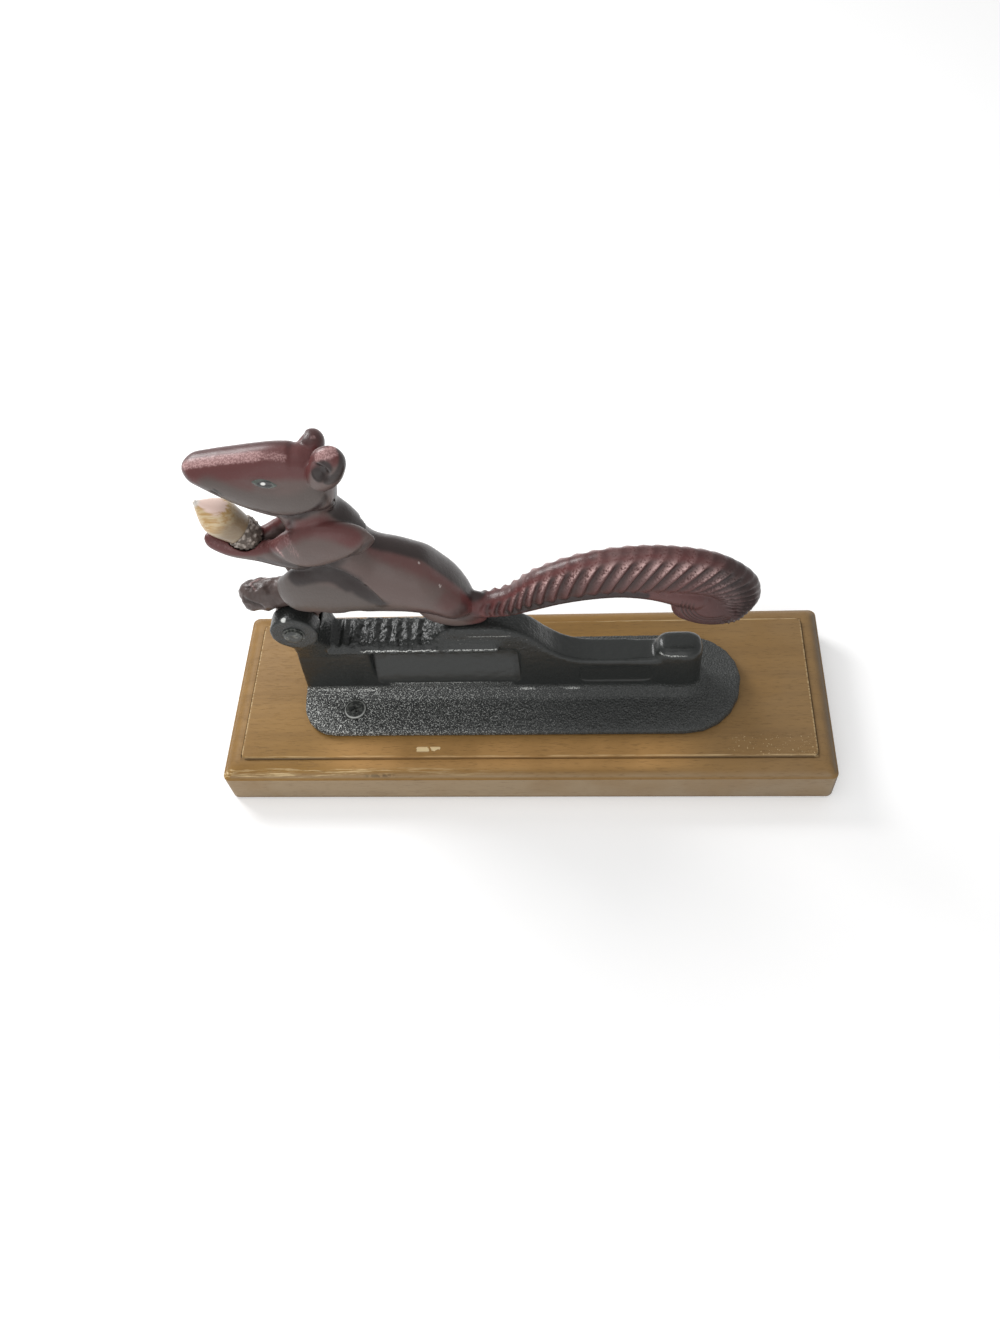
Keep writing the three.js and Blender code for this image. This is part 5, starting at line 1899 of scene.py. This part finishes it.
    def _bodies(self) -> list[bpy.types.Object]:
        """Draws every body that the casting is joined from.

        Returns:
            The bodies, which overlap.
        """
        limbs = [
            Limb("trunk", self.TRUNK, 40, 48, 0.1, 0.09, True),
            Limb("heel", self.HEEL, 10, 24, 0.2, 0.2, True),
            Limb("neck", self.NECK, 12),
            Limb("head", self.HEAD, 32, 40, 0.12, 0.1),
            Limb("near_ear", self.NEAR_EAR, 10, 24, 0.08, 0.3),
            Limb("far_ear", self.FAR_EAR, 10, 24, 0.08, 0.3),
            Limb("foot", self.FOOT, 14, 32, 0.08, 0.2),
            Limb("near_arm", self.ARM, 24, 28, 0.15, 0.1),
            Limb("far_arm", self.FAR_ARM, 24, 28, 0.15, 0.1),
            Limb("near_thigh", self.THIGH, 20, 32, 0.12, 0.12),
            Limb("far_thigh", self._mirrored(self.THIGH), 20, 32, 0.12, 0.12),
        ]
        bodies = [self._limb(limb) for limb in limbs]
        bodies.append(self._tail_body())
        bodies.append(self._tail_run("tail_shaft", self.SHAFT, 30, 0.05, 0.08))
        bodies.append(self._tail_run("tail_curl", self.CURL, 14, 0.2, 0.2))
        bodies.extend(self._tongue())
        return bodies

    def _tail_point(self, x: float, z: float) -> Vector:
        """Turns shares of the tail into a place."""
        return Vector((self.tail_root + x * self.tail_length, 0, self.pin[2] + z * self.tail_rise))

    def _tail_lines(self, count: int) -> tuple[np.ndarray, np.ndarray, np.ndarray]:
        """Reads the tail's root line, crest line and half thickness.

        Args:
            count: How many places to read.

        Returns:
            The roots and crests as x, z, and the half thicknesses.
        """
        rows = [
            (*self._tail_point(a, b).xz, *self._tail_point(c, d).xz, half * self.tail_thickness)
            for a, b, c, d, half in self.TAIL
        ]
        values = curve_through(rows, np.linspace(0, 1, count))
        return values[:, :2], values[:, 2:4], values[:, 4]

    def _tail_body(self) -> bpy.types.Object:
        """Draws the tail from its root line to its crest line.

        Returns:
            The tail.
        """
        roots, crests, halves = self._tail_lines(70)
        across = Vector((0, 1, 0))
        rings = []
        for root, crest, half in zip(roots, crests, halves):
            low, high = Vector((root[0], 0, root[1])), Vector((crest[0], 0, crest[1]))
            middle, up = (low + high) / 2, high - low
            rings.append(ring_matrix(middle, across, up.normalized(), half, up.length / 2))
        return Bench.settle(Bench.limb("tail", rings, 40))

    def _tail_run(
        self, name: str, rows: Sequence[Row], stops: int, start: float, end: float
    ) -> bpy.types.Object:
        """Draws a smooth run of the tail.

        Args:
            name: The run's name.
            rows: Its x, z, half width and half height, in shares of the tail.
            stops: How many rings it has.
            start: The length of its first dome.
            end: The length of its last dome.

        Returns:
            The run.
        """
        stations = [
            (
                (self.tail_root - self.pin[0] + x * self.tail_length) / self.length,
                0,
                z * self.tail_rise / self.height,
                wide * self.tail_thickness / self.width,
                high * self.tail_rise / self.height,
            )
            for x, z, wide, high in rows
        ]
        return self._limb(Limb(name, stations, stops, 28, start, end))

    def _tongue(self) -> list[bpy.types.Object]:
        """Draws the tongue that turns on the pin.

        Returns:
            A disc round the pin, and a web that joins it to the belly.
        """
        x, _, z = self.pin
        disc = Bench.drum("tongue_disc", self.tongue_radius, self.tongue_width, self.pin, 64)
        size = (self.web_length, self.tongue_width, self.web_height)
        web = Bench.block("tongue_web", size, (x + self.web_shift, 0, z + self.web_height / 2))
        with Bench.editing(web):
            Bench.choose(web, "VERT", lambda v: v.co.z < z + 1 * MM and v.co.x > x)
            bpy.ops.transform.translate(value=(-self.web_taper, 0, 0))
        return [disc, web]

    def _clear_hinge(self, casting: bpy.types.Object) -> None:
        """Cuts the room for the clevis, the pin, the pad and the acorn.

        Args:
            casting: The casting.
        """
        x, _, z = self.pin
        away = (self.tongue_width + self.clevis_width) / 2
        pad_place = (self.pad_middle, 0, self.pad_top - self.pad_room[2] / 2)
        tools = [
            Bench.drum("ear_room", self.clevis_radius, self.clevis_width, (x, side * away, z), 64)
            for side in (-1, 1)
        ]
        tools.append(Bench.drum("pin_room", self.pin_room, self.pin_room_length, self.pin, 48))
        tools.append(Bench.block("pad_room", self.pad_room, pad_place))
        tools.extend(self._grown(node) for node in ("acorn_nut", "acorn_cup"))
        Bench.cut(casting, *tools)

    def _grown(self, node: str) -> bpy.types.Object:
        """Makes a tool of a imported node, a little larger all round."""
        tool = Bench.copy_of(node, node + "_room")
        with Bench.editing(tool):
            bpy.ops.mesh.select_all(action="SELECT")
            bpy.ops.transform.shrink_fatten(value=self.acorn_room)
        return tool

    def _rib_pattern(self, points: np.ndarray) -> tuple[np.ndarray, np.ndarray, np.ndarray]:
        """Works out where the ribs of the tail's hair run.

        Args:
            points: The casting's vertices.

        Returns:
            How deep in a valley each vertex is, from 0 to 1, how strong the ribs are there, and
            how near it is to the upper end of its rib.
        """
        roots, crests, _ = self._tail_lines(1200)
        spans = crests - roots
        chosen = np.flatnonzero(points[:, 0] > self.tail_root - 1 * MM)
        valley, strength, tips = np.zeros((3, len(points)))
        for part in np.array_split(chosen, max(1, len(chosen) // 1500)):
            flat = points[part][:, (0, 2)]
            offset = flat[:, None, :] - roots[None]
            share = np.clip((offset * spans).sum(2) / (spans**2).sum(1), 0, 1)
            gap = ((offset - share[..., None] * spans) ** 2).sum(2)
            nearest = gap.argmin(1)
            rows = np.arange(len(part))
            up = share[rows, nearest]
            away = np.sqrt(gap[rows, nearest])
            along = nearest / len(roots) + self.rib_bow * np.sin(np.pi * up)
            turns = along * self.rib_count + self.rib_rush * (1 - np.exp(-along / 0.15))
            phase = turns % 1
            ridge = self.rib_ridge
            fall, climb = 1 - eased(phase, 0, ridge), eased(phase, ridge, 1)
            valley[part] = np.where(phase < ridge, fall, climb)
            fade = eased(up, *self.rib_fade) * eased(away, *self.rib_flank)
            fade *= 1 - 0.9 * eased(up, 0.82, 0.94)
            strength[part] = fade * eased(along, 0.01, 0.06)
            tips[part] = eased(up, 0.56, 0.8) * eased(up, 0.96, 0.87)
        return valley, strength, tips

    def _carve_ribs(self, casting: bpy.types.Object) -> None:
        """Carves the hair of the tail as ribs that lean from root to crest."""
        points = Bench.points(casting)
        valley, strength, _ = self._rib_pattern(points)
        shift = self.rib_depth * strength * (0.35 - valley)
        Bench.place(casting, points + Bench.normals(casting) * shift[:, None])

    def _curl_pattern(self, points: np.ndarray, normals: np.ndarray) -> np.ndarray:
        """Works out where the hair winds round the curl at the tail's end.

        Args:
            points: The casting's vertices.
            normals: Their normals.

        Returns:
            How deep in a groove each vertex is, from 0 to 1.
        """
        centre = self._tail_point(*self.curl_centre)
        away = np.hypot(points[:, 0] - centre.x, points[:, 2] - centre.z)
        turn = np.arctan2(points[:, 2] - centre.z, points[:, 0] - centre.x)
        low_left = eased(np.cos(turn - self.curl_turn), 0.1, 0.6)
        wave = np.abs(np.cos(np.pi * away / self.curl_pitch)) ** 3
        side = eased(np.abs(normals[:, 1]), 0.15, 0.5)
        ring = eased(away, *self.curl_hub) * eased(away, *self.curl_rim)
        return wave * low_left * side * ring

    def _carve_curl(self, casting: bpy.types.Object) -> None:
        """Carves the hair that winds round the curl."""
        points, normals = Bench.points(casting), Bench.normals(casting)
        wave = self._curl_pattern(points, normals)
        Bench.place(casting, points - normals * (wave * self.curl_depth)[:, None])

    def _record_grooves(self, casting: bpy.types.Object) -> None:
        """Keeps on each vertex what the paint needs: grooves, ribs and each tint's cover.

        Args:
            casting: The casting.
        """
        points, normals = Bench.points(casting), Bench.normals(casting)
        valley, strength, tips = self._rib_pattern(points)
        groove = np.maximum(valley * strength, self._curl_pattern(points, normals))
        for line in self._lines():
            near, depth = line.groove(points, normals)
            groove[near] = np.maximum(groove[near], depth)
        kept = {"groove": groove, "rib": strength * (1 - valley) ** 2 * (0.25 + 0.75 * tips)}
        for tint in Tint:
            kept[tint.value] = np.zeros(len(points))
        for stroke in Brushwork.strokes():
            name = stroke.tint.value
            kept[name] = np.maximum(kept[name], stroke.cover(points))
        for name, values in kept.items():
            layer = casting.data.attributes.new(name, "FLOAT", "POINT")
            layer.data.foreach_set("value", values.astype(np.float32))

    def _lines(self) -> list[Line]:
        """Lists the lines that part the squirrel's limbs.

        Returns:
            The lines, with their points in millimetres.
        """
        jaw = (
            (-84, 146.4), (-80.5, 144.6), (-75, 142.2), (-68, 142.9), (-62.2, 145.7), (-58.6, 150),
        )
        neck = ((-73.5, 142.7), (-68.2, 143.6), (-61.2, 144.3), (-55.2, 145.1), (-51.3, 144.2))
        shoulder = ((-51.3, 144.2), (-48.6, 138), (-47.3, 133.0))
        arm = (
            (-84.8, 124.8), (-76.6, 121.7), (-69.8, 120.1), (-62.5, 120.7), (-55.0, 124.6),
            (-45.8, 132.7),
        )
        thigh = (
            (-74.6, 119.5), (-68.1, 118.6), (-62.7, 118.2), (-58.5, 115.8), (-53.8, 111),
            (-49.5, 104.2), (-46.7, 98.5),
        )
        elbow = ((-74.5, 134.7), (-72.1, 140.4), (-69.3, 143.4))
        mouth = ((-96.4, 155.4), (-95.1, 154.7), (-94.0, 153.4), (-93.9, 151.3))
        toes = ((-103.3, 92.6), (-100.2, 92.5), (-97.7, 90.9), (-95.1, 89.1))
        toe_tips = ((-105, 96.5), (-102, 96.8), (-99, 96.0))
        return [
            Line(jaw, 1.1 * MM, 0.5 * MM),
            Line(neck, 1.0 * MM, 0.45 * MM),
            Line(shoulder, 1.2 * MM, 0.7 * MM),
            Line(arm, 1.3 * MM, 1.1 * MM, 1.6),
            Line(thigh, 0.55 * MM, 1.2 * MM, 6.0),
            Line(elbow, 1.2 * MM, 0.7 * MM),
            Line(mouth, 0.5 * MM, 0.6 * MM),
            Line(toes, 0.9 * MM, 0.9 * MM),
            Line(toe_tips, 0.8 * MM, 0.7 * MM),
        ]

    @staticmethod
    def _carve(casting: bpy.types.Object, line: Line) -> None:
        """Carves one line into both flanks.

        Args:
            casting: The casting.
            line: The line, in millimetres.
        """
        points = Bench.points(casting)
        normals = Bench.normals(casting)
        near, depth = line.groove(points, normals)
        points[near] -= normals[near] * (depth * line.depth)[:, None]
        Bench.place(casting, points)

    def _hollow_ears(self, casting: bpy.types.Object) -> None:
        """Hollows the front of both ears.

        Args:
            casting: The casting.
        """
        points, normals = Bench.points(casting), Bench.normals(casting)
        for centre, radius, facing in self.BOWLS:
            away = np.linalg.norm(points - np.array(centre) * MM, axis=1)
            inside = eased(away, radius * MM, radius * self.bowl_flat * MM)
            faces = eased(normals @ np.array(facing), 0.1, 0.6)
            points -= normals * (inside * faces * self.bowl_depth)[:, None]
        Bench.place(casting, points)

    def _round_foot(self, casting: bpy.types.Object) -> None:
        """Rounds the foot's end and gives the foot its lumps.

        Args:
            casting: The casting.
        """
        points = Bench.points(casting)
        x, y, z = points.T
        past = np.clip((self.foot_start - x) / self.foot_length, 0, 0.95)
        drawn_in = np.where(z < self.foot_top, np.sqrt(1 - past**self.foot_power), 1.0)
        y *= drawn_in
        z[:] = self.foot_middle + (z - self.foot_middle) * drawn_in
        Bench.place(casting, points)
        Bench.roughen(casting, *self.foot_lumps, within(points, self.FOOT_ZONE))

    def _eye(self, casting: bpy.types.Object, side: int) -> bpy.types.Object:
        """Sets an almond eye into one side of the head.

        Args:
            casting: The casting, which gets a socket.
            side: -1 for the near side, 1 for the far side.

        Returns:
            The eye.
        """
        x, z = self.eye
        tree = BVHTree.FromObject(casting, bpy.context.evaluated_depsgraph_get())
        start = Vector((x, side * self.width * 2, z))
        spot, normal, _, _ = tree.ray_cast(start, Vector((0, -side, 0)))
        self._socket(casting, spot, side)
        bpy.ops.object.select_all(action="DESELECT")
        bpy.ops.mesh.primitive_uv_sphere_add(segments=40, ring_count=24, radius=1)
        eye = Bench.named("eye_near" if side < 0 else "eye_far")
        eye.scale = self.eye_half
        Bench.settle(eye)
        with Bench.editing(eye):
            mesh = bmesh.from_edit_mesh(eye.data)
            for vertex in mesh.verts:
                share = abs(vertex.co.x) / self.eye_half[0]
                vertex.co.z *= 1 - self.eye_taper * share**3
            bmesh.update_edit_mesh(eye.data)
            bpy.ops.mesh.select_all(action="SELECT")
            bpy.ops.mesh.normals_make_consistent(inside=False)
        lean = Vector((0, side, 0)).rotation_difference(normal).to_matrix().to_4x4()
        turn = Matrix.Rotation(-self.eye_tilt, 4, "Y")
        eye.matrix_world = Matrix.Translation(spot - normal * self.eye_sunk) @ lean @ turn
        Bench.settle(eye)
        return Bench.smooth(eye, 80)

    def _socket(self, casting: bpy.types.Object, spot: Vector, side: int) -> None:
        """Carves the almond groove round an eye.

        Args:
            casting: The casting.
            spot: The eye's middle.
            side: -1 for the near side, 1 for the far side.
        """
        points, normals = Bench.points(casting), Bench.normals(casting)
        x, y, z = (points - np.array(spot)).T
        across = x * math.cos(self.eye_tilt) + z * math.sin(self.eye_tilt)
        high = z * math.cos(self.eye_tilt) - x * math.sin(self.eye_tilt)
        wide, tall = self.socket_half
        almond = np.sqrt((across / wide) ** 2 + (high / tall) ** 2)
        close = (np.abs(y) < self.socket_reach) & (side * normals[:, 1] > 0.2)
        groove = np.exp(-(((almond - 1.0) / self.socket_softness) ** 2)) * self.socket_depth * close
        Bench.place(casting, points - normals * groove[:, None])


@dataclass(frozen=True)
class Lamp:
    """A soft square lamp that looks at the object, with its width and its power in watts."""

    name: str
    place: Row
    width: float
    power: float
    aim: Row = (0.0, 0.0, 0.08)

    def hang(self) -> None:
        """Hangs the lamp in its place."""
        bpy.ops.object.select_all(action="DESELECT")
        look = (Vector(self.aim) - Vector(self.place)).to_track_quat("-Z", "Y").to_euler()
        bpy.ops.object.light_add(type="AREA", location=self.place, rotation=look)
        lamp = bpy.context.active_object
        lamp.name = self.name
        lamp.data.shape = "SQUARE"
        lamp.data.size = self.width
        lamp.data.energy = self.power


@dataclass
class Studio:
    """The pale floor, the soft lamps and the camera at the photograph's place."""

    camera_place: tuple[float, float, float] = (29.6 * MM, -249.2 * MM, 415.3 * MM)
    pitch: float = 56.22
    yaw: float = -8.93
    roll: float = -8.13
    focal: float = 1090.9
    picture_height: int = 1330
    sensor_height: float = 36.0
    floor_size: float = 6.0
    floor_drop: float = 0.2 * MM
    floor_glow: float = 0.25
    air: float = 0.56
    seen_air: float = 1.0
    lamps: Sequence[Lamp] = (
        Lamp("key_lamp", (-0.52, 0.42, 0.52), 0.34, 4.4),
        Lamp("fill_lamp", (-0.1, -0.95, 0.5), 0.9, 3.0),
        Lamp("top_lamp", (-0.2, -0.1, 1.2), 0.9, 1.6),
    )

    def build(self) -> None:
        """Sets up the floor, the light and the camera."""
        self._floor()
        self._world()
        for lamp in self.lamps:
            lamp.hang()
        self._camera()
        bpy.context.scene.view_settings.view_transform = "Standard"

    def _floor(self) -> None:
        """Lays the floor that the object stands on."""
        bpy.ops.object.select_all(action="DESELECT")
        bpy.ops.mesh.primitive_plane_add(size=self.floor_size, location=(0, 0, -self.floor_drop))
        floor = Bench.settle(Bench.named("studio_floor"))
        g = Graph("studio_white", paint(238, 238, 238))
        g.lay(g.grain(0.4, 1), paint(240, 240, 240))
        path = g.add("ShaderNodeLightPath", "Is Camera Ray", {}, {})
        seen = path.most(path.other("Is Glossy Ray")).most(path.other("Is Transmission Ray"))
        g.dress(
            Roughness=0.9,
            Specular_IOR_Level=0.1,
            Emission_Color=g.mix(seen, (0, 0, 0, 1), (1, 1, 1, 1)),
            Emission_Strength=self.floor_glow,
        )
        floor.data.materials.append(g.material)

    def _world(self) -> None:
        """Gives the world a soft white light."""
        world = bpy.data.worlds.new("studio_air")
        bpy.context.scene.world = world
        world.use_nodes = True
        tree = world.node_tree
        background = tree.nodes["Background"]
        background.inputs["Color"].default_value = (1, 1, 1, 1)
        path = tree.nodes.new("ShaderNodeLightPath")
        strength = tree.nodes.new("ShaderNodeMix")
        strength.data_type = "FLOAT"
        strength.inputs[2].default_value = self.air
        strength.inputs[3].default_value = self.seen_air
        tree.links.new(path.outputs["Is Camera Ray"], strength.inputs[0])
        tree.links.new(strength.outputs[0], background.inputs["Strength"])

    def _camera(self) -> None:
        """Sets the camera as the photograph was taken."""
        pitch, yaw, roll = (math.radians(v) for v in (self.pitch, self.yaw, self.roll))
        forward = Vector(
            (math.sin(yaw) * math.cos(pitch), math.cos(yaw) * math.cos(pitch), -math.sin(pitch))
        )
        level = Vector((math.cos(yaw), -math.sin(yaw), 0))
        upright = level.cross(forward)
        right = math.cos(roll) * level + math.sin(roll) * upright
        up = math.cos(roll) * upright - math.sin(roll) * level
        bpy.ops.object.select_all(action="DESELECT")
        bpy.ops.object.camera_add(location=self.camera_place)
        camera = bpy.context.active_object
        camera.name = "photo_camera"
        turn = Matrix((right, up, -forward)).transposed()
        camera.matrix_world = Matrix.Translation(self.camera_place) @ turn.to_4x4()
        camera.data.sensor_fit = "VERTICAL"
        camera.data.sensor_height = self.sensor_height
        camera.data.lens = self.focal / self.picture_height * self.sensor_height
        camera.data.clip_start = 0.01
        camera.data.clip_end = 20.0
        bpy.context.scene.camera = camera


def report(piece: bpy.types.Object) -> None:
    """Logs a piece's size and number of triangles."""
    triangles = sum(len(face.vertices) - 2 for face in piece.data.polygons)
    points = Bench.points(piece)
    low, high = points.min(0) / MM, points.max(0) / MM
    log.info("%s: %d triangles, %s to %s mm", piece.name, triangles, low.round(1), high.round(1))


def stand_for(
    piece: bpy.types.Object, node: str | None, body: str, finish: bpy.types.Material
) -> None:
    """Dresses a piece and ties it to the frame.

    Args:
        piece: The finished piece.
        node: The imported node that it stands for, if any.
        body: The body that it moves with.
        finish: Its material.
    """
    piece.data.materials.clear()
    piece.data.materials.append(finish)
    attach(piece, body)
    if node:
        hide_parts(node)
    report(piece)


def main() -> None:
    """Builds the studio and every piece."""
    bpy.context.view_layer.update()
    Studio().build()
    stand_for(Plaque().build(), "wooden_plaque", "base", StainedWood().build())
    stand_for(LogCasting().build(), "log_base", "base", BlackEnamel().build())
    steel = DarkSteel().build()
    stand_for(PivotPin().build(), "pivot_pin", "base", steel)
    for screw, node in zip(WoodScrews().build(), WoodScrews.names):
        stand_for(screw, node, "base", steel)
    casting, eyes = Squirrel().build()
    stand_for(casting, "squirrel_lever", "lever", MaroonEnamel().build())
    eye_paint = EyePaint().build()
    for eye in eyes:
        stand_for(eye, None, "lever", eye_paint)
    nut, cup = Acorn().build()
    stand_for(nut, "acorn_nut", "lever", AcornShell().build())
    stand_for(cup, "acorn_cup", "lever", AcornScale().build())


if __name__ == "__main__":
    logging.basicConfig(level=logging.INFO, format="%(name)s: %(message)s")
    main()
